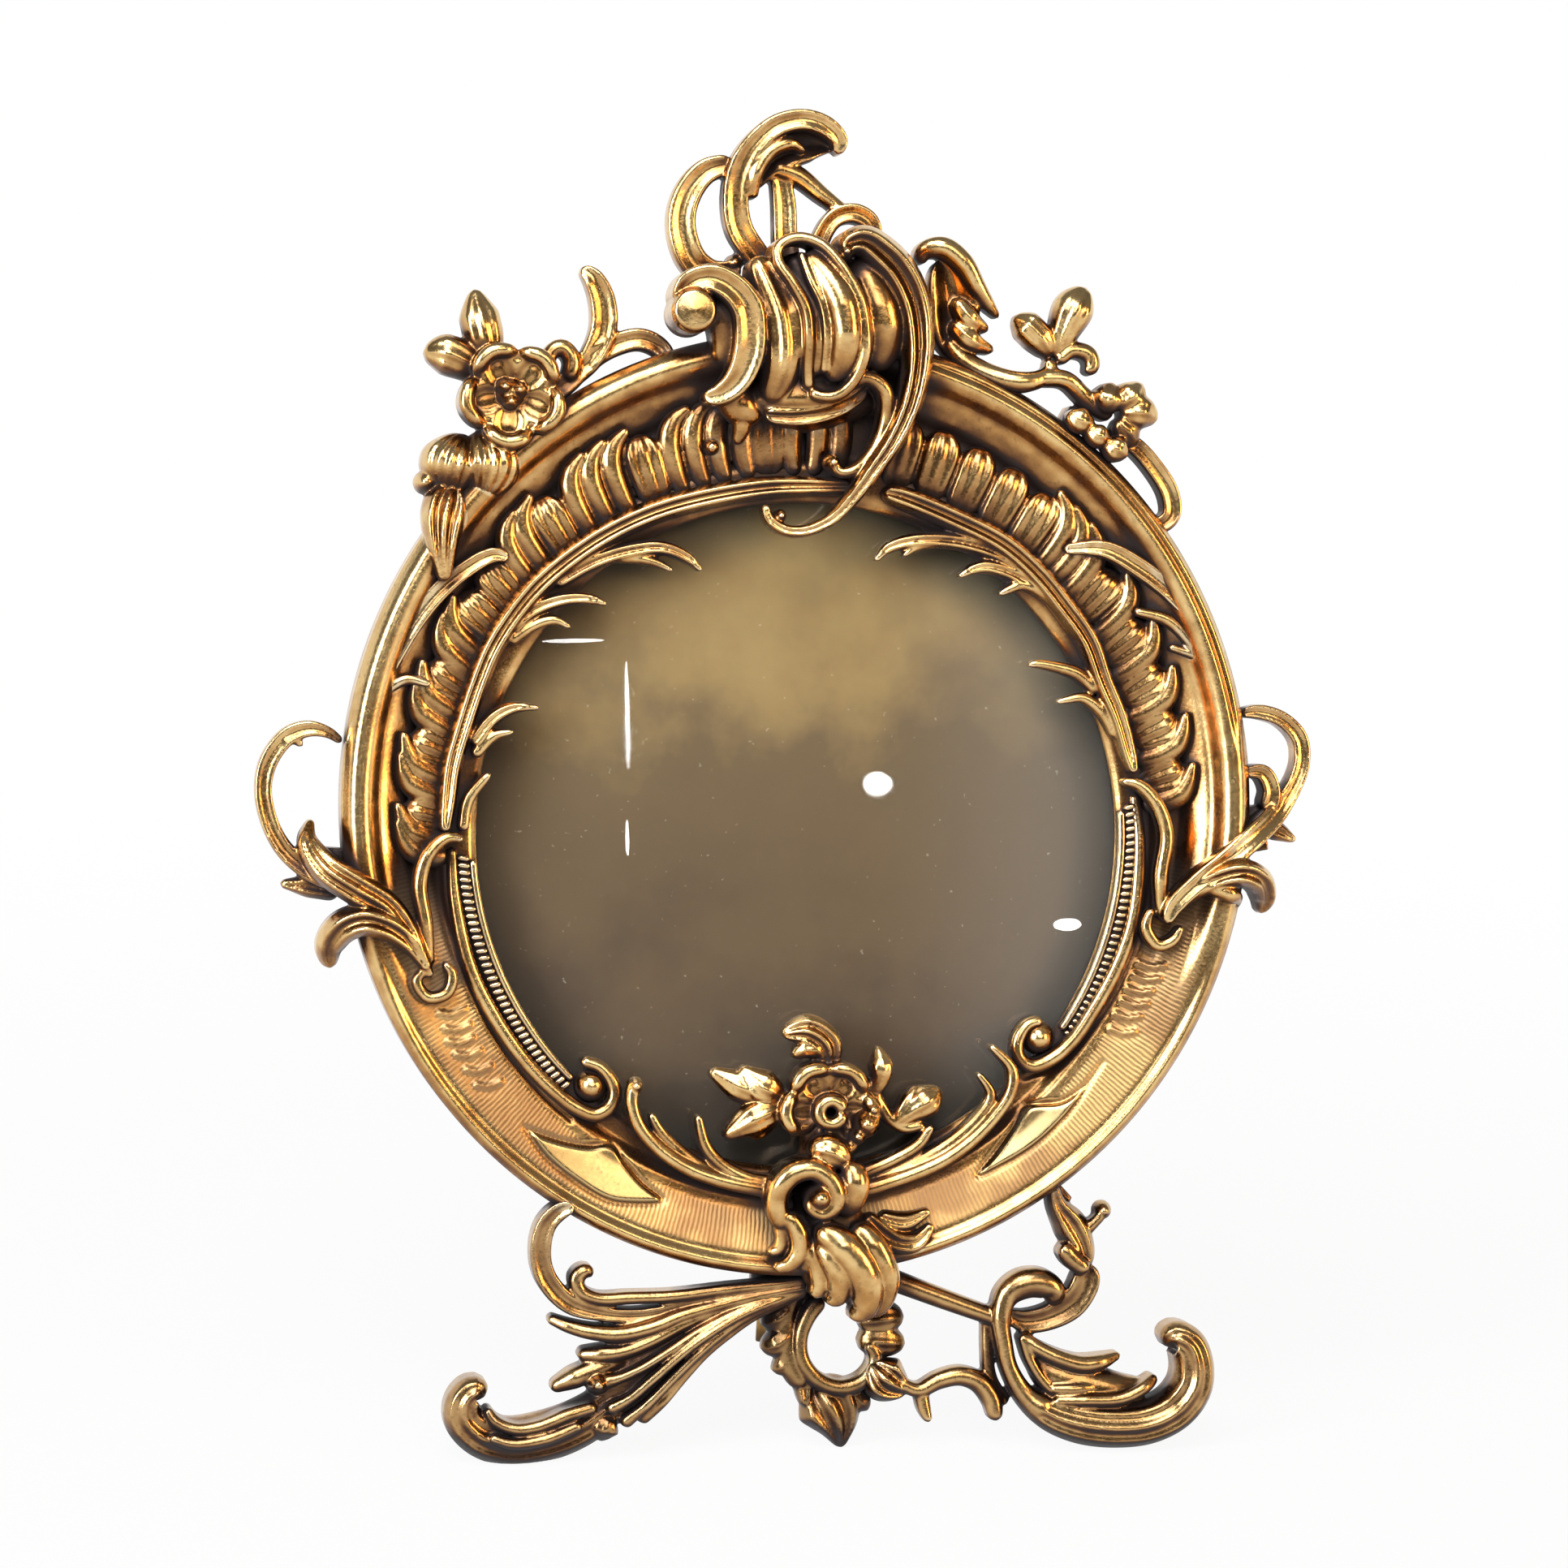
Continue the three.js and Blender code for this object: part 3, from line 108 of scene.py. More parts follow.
def trace(path, step=STATION_STEP):
    """A smooth curve through the path: points at even steps, with their shares of the way and distances."""
    points = np.array(path, float)
    points = np.vstack([2 * points[0] - points[1], points, 2 * points[-1] - points[-2]])
    gaps = np.sqrt(np.linalg.norm(np.diff(points, axis=0), axis=1))
    knots = np.concatenate([[0], np.cumsum(gaps)])
    spans, fine = len(points) - 3, 12
    curve, shares = [], []
    for i in range(spans):
        t = np.linspace(knots[i + 1], knots[i + 2], fine, endpoint=i == spans - 1)[:, None]

        def between(a, b, first, last):
            return ((knots[last] - t) * a + (t - knots[first]) * b) / (knots[last] - knots[first])

        edge = [between(points[i + k], points[i + k + 1], i + k, i + k + 1) for k in range(3)]
        bend = [between(edge[k], edge[k + 1], i + k, i + k + 2) for k in range(2)]
        curve.append(between(bend[0], bend[1], i + 1, i + 2))
        shares.append((i + (t[:, 0] - knots[i + 1]) / (knots[i + 2] - knots[i + 1])) / spans)
    curve, shares = np.vstack(curve), np.concatenate(shares)
    lengths = np.concatenate([[0], np.cumsum(np.linalg.norm(np.diff(curve, axis=0), axis=1))])
    even = np.linspace(0, lengths[-1], max(6, int(lengths[-1] / step)))
    places = np.column_stack([np.interp(even, lengths, curve[:, k]) for k in range(2)])
    return places, np.interp(even, lengths, shares), even


def loft(rows):
    """A closed shell through rows of points, each row a closed loop, with flat ends."""
    count, around = rows.shape[:2]
    index = np.arange(count * around).reshape(count, around)
    ahead = np.roll(index, -1, axis=1)
    faces = np.stack([index[:-1], ahead[:-1], ahead[1:], index[1:]], axis=-1).reshape(-1, 4).tolist()
    faces.append(index[0][::-1].tolist())
    faces.append(index[-1].tolist())
    return rows.reshape(-1, 3), faces


def block(corners, back, front):
    """A flat-sided shell over corners in the plane, between two depths."""
    return loft(np.array([[(*corner, depth) for corner in corners] for depth in (back, front)]))


# A strand's section: how square its front is, how hollow, how many ridges it has and how deep the grooves
# between them are, and how far its back swells, as shares of half its width.
Section = namedtuple("Section", "power hollow ridges groove under")
ROUND = Section(2, 0, 1, 0, 0.5)
BAND = Section(4, 0.45, 1, 0, 0.3)
TWIN = Section(2.4, 0, 2, 0.5, 0.3)
REED3 = Section(2.4, 0, 3, 0.5, 0.3)
LEAF = Section(2.2, 0, 2, 0.36, 0.2)
SPOON = Section(6, 0.8, 1, 0, 0.2)
PETAL = Section(4, 0.6, 1, 0, 0.2)
POD = Section(2, 0, 3, 0.16, 0.4)
THUMB = Section(4.5, 0, 3, 0.2, 0.2)
CUP = Section(4, 0.28, 3, 0.1, 0.2)
CREASED = Section(2, 0, 6, 0.34, 0.4)
BELLY = Section(2, 0, 3, 0.27, 0.4)


def section_loop(kind):
    """A section's loop: how far across, in half widths, and how far its front sags and its back swells."""
    across = -np.cos(np.linspace(0, math.pi, 9 + 8 * kind.ridges))
    sag = 1 - np.maximum(1 - np.abs(across) ** kind.power, 0) ** (1 / kind.power)
    sag = sag + kind.hollow * (1 - across ** 2) ** 2
    sag = sag + kind.groove * (1 + np.cos(math.pi * kind.ridges * (across + 1))) / kind.ridges
    back = across[::-2]
    return np.concatenate([across, back]), sag, kind.under * np.sqrt(1 - back ** 2)


# A strand's rounded ends: the most of its length that one takes, the share of its width left at the tip,
# how far it dips for each millimetre of half width, and the half width beyond which it dips no further.
# A section's hollows go no deeper than HOLLOW_MOST of the rise.
END_REACH, END_TIP, END_DIP, END_DIP_HALF = 0.45, 0.05, 0.7, 4.0
HOLLOW_MOST = 0.9


def sweep(place, kind, path, width, back, rise, tilt=0):
    """A cast strand along a path: its section, width, back and rise laid evenly along it."""
    places, shares, lengths = trace(path)
    heading = np.gradient(places, axis=0)
    heading /= np.linalg.norm(heading, axis=1)[:, None]
    side = np.column_stack([heading[:, 1], -heading[:, 0]])
    half = spread(width, shares) / 2
    reach = np.minimum(half, END_REACH * lengths[-1])
    near = np.clip(np.minimum(lengths, lengths[-1] - lengths) / reach, 0, 1)
    cap = np.maximum(np.sqrt(1 - (1 - near) ** 2), END_TIP)
    rises = spread(rise, shares) - END_DIP * np.minimum(half, END_DIP_HALF) * (1 - cap)
    half = half * cap
    across, sag, swell = section_loop(kind)
    drop = np.minimum(half, HOLLOW_MOST * rises / sag.max())
    x = across * half[:, None]
    z = np.hstack([rises[:, None] - sag * drop[:, None], -swell * half[:, None]])
    turn = np.radians(spread(tilt, shares))[:, None]
    x, z = x * np.cos(turn) - z * np.sin(turn), x * np.sin(turn) + z * np.cos(turn)
    rows = np.empty((*x.shape, 3))
    rows[..., :2] = np.array(place) + places[:, None] + x[..., None] * side[:, None]
    rows[..., 2] = spread(back, shares)[:, None] + z
    return loft(rows)


AXIS_RADIUS = 0.01


def lathe(place, profile, count=40):
    """A turned shell from radius and height pairs, listed from one end of the axis to the other."""
    turns = np.linspace(0, 2 * math.pi, count, endpoint=False)
    profile = np.array([(max(radius, AXIS_RADIUS), height) for radius, height in profile])
    rows = np.empty((len(profile), count, 3))
    rows[..., 0] = place[0] + profile[:, :1] * np.cos(turns)
    rows[..., 1] = place[1] + profile[:, :1] * np.sin(turns)
    rows[..., 2] = profile[:, 1:]
    return loft(rows)


def knob(place, centre, radius, back, rise):
    """A domed boss."""
    turns = np.linspace(0, math.pi / 2, 9)
    profile = [(0, back), *((radius * math.cos(t), back + rise * math.sin(t)) for t in turns)]
    return lathe(np.add(place, centre), profile, 28)


def eye(place, centre, radius, back, rise):
    """A flat-topped round boss, as a volute ends in."""
    shoulder, crown = 0.88, 1.04
    profile = [(0, back), (radius, back), (radius, back + shoulder * rise),
               (shoulder * radius, back + rise), (0, back + crown * rise)]
    return lathe(np.add(place, centre), profile)


def flower(place, centre, radius, back, rise, turns):
    """Cupped petals, each with a thick rim and a little wider than its share of the round."""
    half = 0.54 * 360 / len(turns)
    cup_widths, cup_rises = np.array([0.5, 1, 1.1]) * radius, np.array([0.72, 0.84, 0.92]) * rise
    rim_widths = np.array([0.18, 0.28, 0.32, 0.28, 0.18]) * radius
    rim_rises = np.array([0.7, 0.95, 1, 0.95, 0.7]) * rise
    shells = []
    for degrees in turns:
        def polar(share, halves=0.0):
            turn = math.radians(degrees + halves * half)
            return np.add(centre, radius * share * np.array([math.cos(turn), math.sin(turn)]))

        cup = [polar(0.1), polar(0.5), polar(0.86)]
        petal_rim = [polar(0.74, -1), polar(0.92, -0.6), polar(1), polar(0.92, 0.6), polar(0.74, 1)]
        shells.append(sweep(place, CUP, cup, cup_widths, back, cup_rises))
        shells.append(sweep(place, ROUND, petal_rim, rim_widths, back, rim_rises))
    return shells


# Places round the ring
def rim(degrees, out=0):
    turn = np.radians(degrees)
    return (RING_HALF + out) * np.array([np.cos(turn), np.sin(turn)])


def sight(degrees):
    turn = np.radians(degrees)
    return SIGHT_HALF * np.array([np.cos(turn), np.sin(turn)]) - np.array([0, SIGHT_DROP])


def band_point(degrees, out):
    """A point on the ring's band, a distance out from the sight edge."""
    start, end = sight(degrees), rim(degrees)
    return start + out * (end - start) / np.linalg.norm(end - start)


# Objects
def mesh_of(name, shells):
    """One mesh of several shells, each turned with its outside out."""
    points, faces, first = [], [], 0
    for shell_points, shell_faces in shells:
        points.append(shell_points)
        faces += [[first + i for i in face] for face in shell_faces]
        first += len(shell_points)
    mesh = bpy.data.meshes.new(name)
    mesh.from_pydata(np.vstack(points).tolist(), [], faces)
    shape = bmesh.new()
    shape.from_mesh(mesh)
    bmesh.ops.recalc_face_normals(shape, faces=shape.faces)
    shape.to_mesh(mesh)
    shape.free()
    return mesh


def blank_of(mesh):
    blank = bpy.data.objects.new("blank", mesh)
    bpy.context.scene.collection.objects.link(blank)
    return blank


def finished(blank, *spent):
    """A blank's mesh as its modifiers leave it. The blank and what else is spent are cleared away."""
    skin = bpy.data.meshes.new_from_object(blank.evaluated_get(bpy.context.evaluated_depsgraph_get()))
    for obj in (blank, *spent):
        bpy.data.objects.remove(obj)
    return skin


def fused(mesh, voxel):
    """The mesh's shells run together into one skin, as in a casting."""
    blank = blank_of(mesh)
    remesh = blank.modifiers.new("fuse", "REMESH")
    remesh.mode, remesh.voxel_size = "VOXEL", voxel
    soften = blank.modifiers.new("soften", "SMOOTH")
    soften.factor, soften.iterations = 0.5, 5
    return finished(blank)


def cut_out(mesh, tool):
    """A closed mesh less another."""
    blank, cutter = blank_of(mesh), blank_of(tool)
    cut = blank.modifiers.new("cut", "BOOLEAN")
    cut.operation, cut.solver, cut.object = "DIFFERENCE", "EXACT", cutter
    return finished(blank, cutter)


def piece(name, mesh, material, nodes=(), body="frame", smooth=True):
    """A finished piece from a mesh drawn in the frame's plane, flattened where it stands on the floor."""
    mesh.transform(TO_WORLD)
    places = np.empty(3 * len(mesh.vertices))
    mesh.vertices.foreach_get("co", places)
    places[2::3] = np.maximum(places[2::3], 0)
    mesh.vertices.foreach_set("co", places)
    mesh.update()
    mesh.name = name
    obj = bpy.data.objects.new(name, mesh)
    bpy.context.scene.collection.objects.link(obj)
    mesh.polygons.foreach_set("use_smooth", [smooth] * len(mesh.polygons))
    mesh.materials.clear()
    mesh.materials.append(material)
    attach(obj, body)
    if nodes:
        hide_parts(*nodes)


# Shader helpers
def node(tree, kind, inputs=None, **settings):
    """A shader node with its settings, and its inputs linked to a socket or set to a value."""
    made = tree.nodes.new(kind)
    for name, value in settings.items():
        setattr(made, name, value)
    for name, value in (inputs or {}).items():
        if isinstance(value, bpy.types.NodeSocket):
            tree.links.new(value, made.inputs[name])
        else:
            made.inputs[name].default_value = value
    return made


def maths(tree, operation, a, b):
    return node(tree, "ShaderNodeMath", {0: a, 1: b}, operation=operation).outputs[0]


def vector_maths(tree, operation, a, b=(0, 0, 0)):
    made = node(tree, "ShaderNodeVectorMath", {0: a, 1: b}, operation=operation)
    return made.outputs["Vector" if operation == "SUBTRACT" else "Value"]


def object_place(tree):
    return node(tree, "ShaderNodeTexCoord").outputs["Object"]


def remap(tree, value, low, high, to_low=0.0, to_high=1.0):
    """A value eased from one range to another, and held at its ends."""
    inputs = {"Value": value, "From Min": low, "From Max": high, "To Min": to_low, "To Max": to_high}
    return node(tree, "ShaderNodeMapRange", inputs, interpolation_type="SMOOTHSTEP").outputs[0]


def blend(tree, share, a, b):
    return node(tree, "ShaderNodeMix", {0: share, 6: a, 7: b}, data_type="RGBA").outputs[2]


def ramp(tree, value, stops):
    """A tone for each value, from pairs of place and tone in rising order."""
    made = node(tree, "ShaderNodeValToRGB", {0: value})
    elements = made.color_ramp.elements
    elements.remove(elements[1])
    for number, (place, tone) in enumerate(stops):
        stop = elements.new(place) if number else elements[0]
        stop.position, stop.color = place, (*tone, 1)
    return made.outputs[0]


def noise(tree, vector, scale, detail=3.0, rough=0.5):
    inputs = {"Vector": vector, "Scale": scale, "Detail": detail, "Roughness": rough}
    return node(tree, "ShaderNodeTexNoise", inputs).outputs[0]


def group(name, inputs, outputs):
    """An empty node group of plain values: its tree, what it is given and what it puts out."""
    tree = bpy.data.node_groups.new(name, "ShaderNodeTree")
    for label, value in inputs.items():
        socket = tree.interface.new_socket(label, in_out="INPUT", socket_type="NodeSocketFloat")
        socket.default_value = value
    for label in outputs:
        tree.interface.new_socket(label, in_out="OUTPUT", socket_type="NodeSocketFloat")
    return tree, tree.nodes.new("NodeGroupInput").outputs, tree.nodes.new("NodeGroupOutput").inputs


def use(tree, shared, inputs=None):
    return node(tree, "ShaderNodeGroup", inputs, node_tree=shared).outputs


# How far, in metres, a hollow is felt, and how thin a raised edge is, on castings and on the chased ring.
HOLLOW_REACH, EDGE_REACH, CHASED_EDGE_REACH = 0.0062, 0.0016, 0.0006


def patina_and_shade_group():
    """How open a place is to rubbing, and how light its tone: low in hollows, for patina and painted shade,
    and on undersides, for painted shade. Also its raised edges.
    """
    usual = {"Reach": HOLLOW_REACH, "Edge": EDGE_REACH, "Under": 0.2}
    tree, given, out = group("patina_and_shade", usual, ["Open", "Rub"])
    place = object_place(tree)
    # Hollows darken: partly the patina the brass has there, partly painted shade.
    wide = node(tree, "ShaderNodeAmbientOcclusion", {"Distance": given["Reach"]}, samples=12).outputs["AO"]
    uneven = remap(tree, noise(tree, place, 240, 4), 0.3, 0.7, -0.06, 0.06)
    shape = node(tree, "ShaderNodeNewGeometry").outputs
    height = node(tree, "ShaderNodeSeparateXYZ", {0: shape["Normal"]}).outputs["Z"]
    # Surfaces facing down are darkened by the given share, as painted shade.
    under = maths(tree, "MULTIPLY", remap(tree, height, 0.1, -0.75), given["Under"])
    openness = maths(tree, "SUBTRACT", maths(tree, "ADD", wide, uneven), under)
    tree.links.new(openness, out["Open"])
    edge = {"Distance": given["Edge"]}
    thin = node(tree, "ShaderNodeAmbientOcclusion", edge, samples=8, inside=True).outputs["AO"]
    rub = maths(tree, "MULTIPLY", remap(tree, thin, 0.8, 0.3), remap(tree, openness, 0.6, 0.9))
    tree.links.new(rub, out["Rub"])
    return tree


def tarnish_group():
    """Slow changes of tone over a surface, and fine specks."""
    tree, given, out = group("tarnish", {"Scale": 50.0}, ["Tone", "Speck", "Grain"])
    place = object_place(tree)
    tone = remap(tree, noise(tree, place, given["Scale"], 4), 0.36, 0.64)
    speck = remap(tree, noise(tree, place, maths(tree, "MULTIPLY", given["Scale"], 16.0), 3), 0.6, 0.7)
    grain = noise(tree, place, maths(tree, "MULTIPLY", given["Scale"], 30.0), 4)
    for label, value in zip(("Tone", "Speck", "Grain"), (tone, speck, grain)):
        tree.links.new(value, out[label])
    return tree


PATINA_AND_SHADE, TARNISH = patina_and_shade_group(), tarnish_group()


def material(name):
    made = bpy.data.materials.new(name)
    made.use_nodes = True
    tree = made.node_tree
    return made, tree, tree.nodes["Principled BSDF"].inputs


def bump(tree, height, strength, distance=0.0002):
    inputs = {"Height": height, "Strength": strength, "Distance": distance}
    return node(tree, "ShaderNodeBump", inputs).outputs[0]


# The ring's chased band: the lines of its matting in a full turn, and its tones.
MATTING_LINES = 600.0
RESERVE_TONE = (0.54, 0.42, 0.21)
MATTED_TONE = (0.56, 0.35, 0.145)
STAIN_TONE = (0.34, 0.19, 0.09)


def chased(tree):
    """Masks and lines of the ring's lower band: finely matted ground and polished reserves."""
    chasing = node(tree, "ShaderNodeAttribute", attribute_name="chasing").outputs["Fac"]
    matted = maths(tree, "MAXIMUM", chasing, 0.0)
    polished = maths(tree, "MULTIPLY", maths(tree, "MINIMUM", chasing, 0.0), -1.0)
    place = object_place(tree)
    spoke = vector_maths(tree, "SUBTRACT", place, Vector(CENTRE))
    across, along = (vector_maths(tree, "DOT_PRODUCT", spoke, Vector(axis)) for axis in (RIGHT, UP))
    turn = maths(tree, "MULTIPLY", maths(tree, "ARCTAN2", along, across), MATTING_LINES)
    waver = remap(tree, noise(tree, place, 300, 2), 0.3, 0.7, -0.8, 0.8)
    lines = node(tree, "ShaderNodeMath", {0: maths(tree, "ADD", turn, waver)}, operation="SINE").outputs[0]
    return matted, polished, lines


# How open a place is where each of a metal's first four tones is full, and how strong its other marks are.
TONE_STOPS = (0.4, 0.62, 0.82, 0.99)
RUB_SHARE, SPECK_SHARE, RESERVE_SHARE = 0.6, 0.22, 0.6
DULL_ROUGHNESS = 0.55


def metal(name, tones, rough, under, engraved=False):
    """Worn metal: tones from the first, in deep hollows, to the fourth, and the fifth on rubbed edges. The
    dark of hollows is patina and painted shade; the dark of undersides is painted shade.
    """
    made, tree, shader = material(name)
    # The under share darkens surfaces facing down, as painted shade.
    masks = use(tree, PATINA_AND_SHADE, {"Under": under, "Edge": CHASED_EDGE_REACH if engraved else EDGE_REACH})
    tarnish = use(tree, TARNISH)
    drift = remap(tree, tarnish["Tone"], 0, 1, -0.07, 0.03)
    openness = maths(tree, "ADD", masks["Open"], drift)
    colour = ramp(tree, openness, zip(TONE_STOPS, tones))
    colour = blend(tree, maths(tree, "MULTIPLY", masks["Rub"], RUB_SHARE), colour, (*tones[4], 1))
    colour = blend(tree, maths(tree, "MULTIPLY", tarnish["Speck"], SPECK_SHARE), colour, (*tones[0], 1))
    speckled = maths(tree, "MULTIPLY", tarnish["Speck"], 0.3)
    dull = maths(tree, "MAXIMUM", remap(tree, openness, 0.7, 0.35), speckled)
    height = tarnish["Grain"]
    if engraved:
        matted, polished, lines = chased(tree)
        stain = remap(tree, tarnish["Tone"], 0.2, 0.9, 0.75, 0.05)
        scored = maths(tree, "MULTIPLY", matted, remap(tree, lines, 0.2, -0.9, 0.4, 0.9))
        colour = blend(tree, scored, colour, (*MATTED_TONE, 1))
        colour = blend(tree, maths(tree, "MULTIPLY", matted, stain), colour, (*STAIN_TONE, 1))
        colour = blend(tree, maths(tree, "MULTIPLY", polished, RESERVE_SHARE), colour, (*RESERVE_TONE, 1))
        height = maths(tree, "MULTIPLY", height, maths(tree, "SUBTRACT", 1.0, polished))
        cuts = maths(tree, "MULTIPLY", lines, maths(tree, "MULTIPLY", matted, 0.6))
        height = maths(tree, "ADD", height, cuts)
        dull = maths(tree, "MAXIMUM", dull, maths(tree, "MULTIPLY", matted, 0.5))
    tree.links.new(colour, shader["Base Color"])
    grain = remap(tree, tarnish["Grain"], 0.3, 0.7, -0.03, 0.04)
    roughness = maths(tree, "ADD", remap(tree, dull, 0, 1, rough, DULL_ROUGHNESS), grain)
    tree.links.new(roughness, shader["Roughness"])
    tree.links.new(remap(tree, openness, 0.3, 0.6, 0.3, 1), shader["Metallic"])
    tree.links.new(bump(tree, height, 0.2), shader["Normal"])
    return made


GILT_TONES = [(0.03, 0.018, 0.016), (0.18, 0.08, 0.034), (0.5, 0.26, 0.085),
              (0.79, 0.54, 0.235), (0.96, 0.81, 0.52)]
# Painted shade: a darker copy of the gilt tones, for the leaflets down in the ring's cove.
COVE_SHADE_TONES = [(0.028, 0.018, 0.016), (0.14, 0.064, 0.03), (0.36, 0.18, 0.066),
               (0.6, 0.37, 0.15), (0.9, 0.72, 0.44)]
SHADE_TONES = [(0.022, 0.015, 0.015), (0.1, 0.049, 0.028), (0.28, 0.145, 0.06),
               (0.56, 0.35, 0.15), (0.9, 0.72, 0.44)]
# Painted shade: the darkest copy of the gilt tones, for the pendant, which is seen in deep shade.
DEEP_SHADE_TONES = [(0.02, 0.014, 0.016), (0.07, 0.036, 0.023), (0.17, 0.088, 0.04),
              (0.36, 0.215, 0.09), (0.86, 0.68, 0.4)]
SHEET_TONES = [(0.05, 0.028, 0.014), (0.16, 0.085, 0.03), (0.3, 0.17, 0.055),
               (0.42, 0.26, 0.09), (0.76, 0.55, 0.26)]
DARK_TONES = [(0.03, 0.02, 0.014), (0.12, 0.065, 0.03), (0.26, 0.15, 0.06),
              (0.42, 0.25, 0.1), (0.7, 0.48, 0.22)]
STEEL_TONES = [(0.03, 0.026, 0.022), (0.12, 0.11, 0.1), (0.24, 0.22, 0.2),
               (0.34, 0.32, 0.29), (0.62, 0.6, 0.56)]
gilt = metal("gilt_brass", GILT_TONES, 0.2, 0.34)
cove_shade_gilt = metal("gilt_brass_cove_shade", COVE_SHADE_TONES, 0.22, 0.28)
shade_gilt = metal("gilt_brass_shade", SHADE_TONES, 0.22, 0.6)
deep_shade_gilt = metal("gilt_brass_deep_shade", DEEP_SHADE_TONES, 0.26, 0.6)
ring_gilt = metal("gilt_brass_chased", GILT_TONES, 0.22, 0.34, engraved=True)
sheet = metal("sheet_brass", SHEET_TONES, 0.34, 0)
dark = metal("dark_brass", DARK_TONES, 0.38, 0)
steel = metal("screw_steel", STEEL_TONES, 0.36, 0)


def glass_material():
    """Old window glass, a little smeared, that lets the lamps through to the card."""
    made, tree, shader = material("glass")
    shader["Base Color"].default_value = (0.96, 0.97, 0.95, 1)
    shader["Transmission Weight"].default_value = 1
    shader["IOR"].default_value = 1.45
    smear = remap(tree, noise(tree, object_place(tree), 45, 4), 0.4, 0.7, 0.0, 0.016)
    tree.links.new(smear, shader["Roughness"])
    clear = node(tree, "ShaderNodeBsdfTransparent", {"Color": (0.9, 0.91, 0.88, 1)})
    lamps = node(tree, "ShaderNodeLightPath").outputs["Is Shadow Ray"]
    pane = tree.nodes["Principled BSDF"].outputs[0]
    mix = node(tree, "ShaderNodeMixShader", {0: lamps, 1: pane, 2: clear.outputs[0]})
    tree.links.new(mix.outputs[0], tree.nodes["Material Output"].inputs["Surface"])
    return made


# The card: its tones from the foot up, its greying towards the right, and its dark edge out from the
# middle, which paints the ring's shadow and dirt.
CARD_TONES = [(0.05, (0.044, 0.025, 0.013)), (0.3, (0.078, 0.048, 0.022)), (0.62, (0.094, 0.06, 0.026)),
              (0.82, (0.2, 0.13, 0.05)), (1, (0.25, 0.168, 0.064))]
GREYING_TONE, GREYING_FROM, GREYING_TO, GREYING_SHARE = (0.13, 0.106, 0.092), 12.0, 58.0, 0.62
EDGE_SHADOW_AND_DIRT_TONE, EDGE_SHADOW_AND_DIRT_FROM, EDGE_SHADOW_AND_DIRT_TO, EDGE_SHADOW_AND_DIRT_SHARE = (0.012, 0.01, 0.008), 52.0, 68.0, 0.8
DUST_TONE, DUST_SHARE = (0.45, 0.41, 0.35), 0.3


def card_material():
    """A plain old card: olive brown, mottled, darker below, greyer towards the right, and darker round its
    edge with a painted shadow of the ring and dirt, with dust.
    """
    made, tree, shader = material("card")
    place = object_place(tree)
    split = node(tree, "ShaderNodeSeparateXYZ", {0: place}).outputs
    low = CENTRE[2] - MM * SIGHT_HALF[1]
    rise = remap(tree, split["Z"], low, low + 2 * MM * SIGHT_HALF[1])
    cloud = noise(tree, place, 24, 5, 0.6)
    drift = maths(tree, "ADD", rise, remap(tree, cloud, 0.3, 0.7, -0.14, 0.14))
    colour = ramp(tree, drift, CARD_TONES)
    # Greyer towards the right.
    greying = remap(tree, split["X"], CENTRE[0] + MM * GREYING_FROM, CENTRE[0] + MM * GREYING_TO, 0, GREYING_SHARE)
    colour = blend(tree, greying, colour, (*GREYING_TONE, 1))
    dust = remap(tree, noise(tree, place, 900, 2), 0.7, 0.78, 0, DUST_SHARE)
    colour = blend(tree, dust, colour, (*DUST_TONE, 1))
    # Painted shadow of the ring, with dirt, darkens the card towards the edge of the sight.
    spoke = vector_maths(tree, "SUBTRACT", place, world(0, -SIGHT_DROP, 0))
    edge = remap(tree, vector_maths(tree, "LENGTH", spoke), MM * EDGE_SHADOW_AND_DIRT_FROM, MM * EDGE_SHADOW_AND_DIRT_TO, 0, EDGE_SHADOW_AND_DIRT_SHARE)
    tree.links.new(blend(tree, edge, colour, (*EDGE_SHADOW_AND_DIRT_TONE, 1)), shader["Base Color"])
    shader["Roughness"].default_value = 0.8
    return made


def board_material():
    made, tree, shader = material("board")
    fibre = noise(tree, object_place(tree), 300, 6, 0.7)
    tree.links.new(blend(tree, fibre, (0.16, 0.1, 0.05, 1), (0.3, 0.2, 0.11, 1)), shader["Base Color"])
    shader["Roughness"].default_value = 0.9
    return made


glass, card, board = glass_material(), card_material(), board_material()

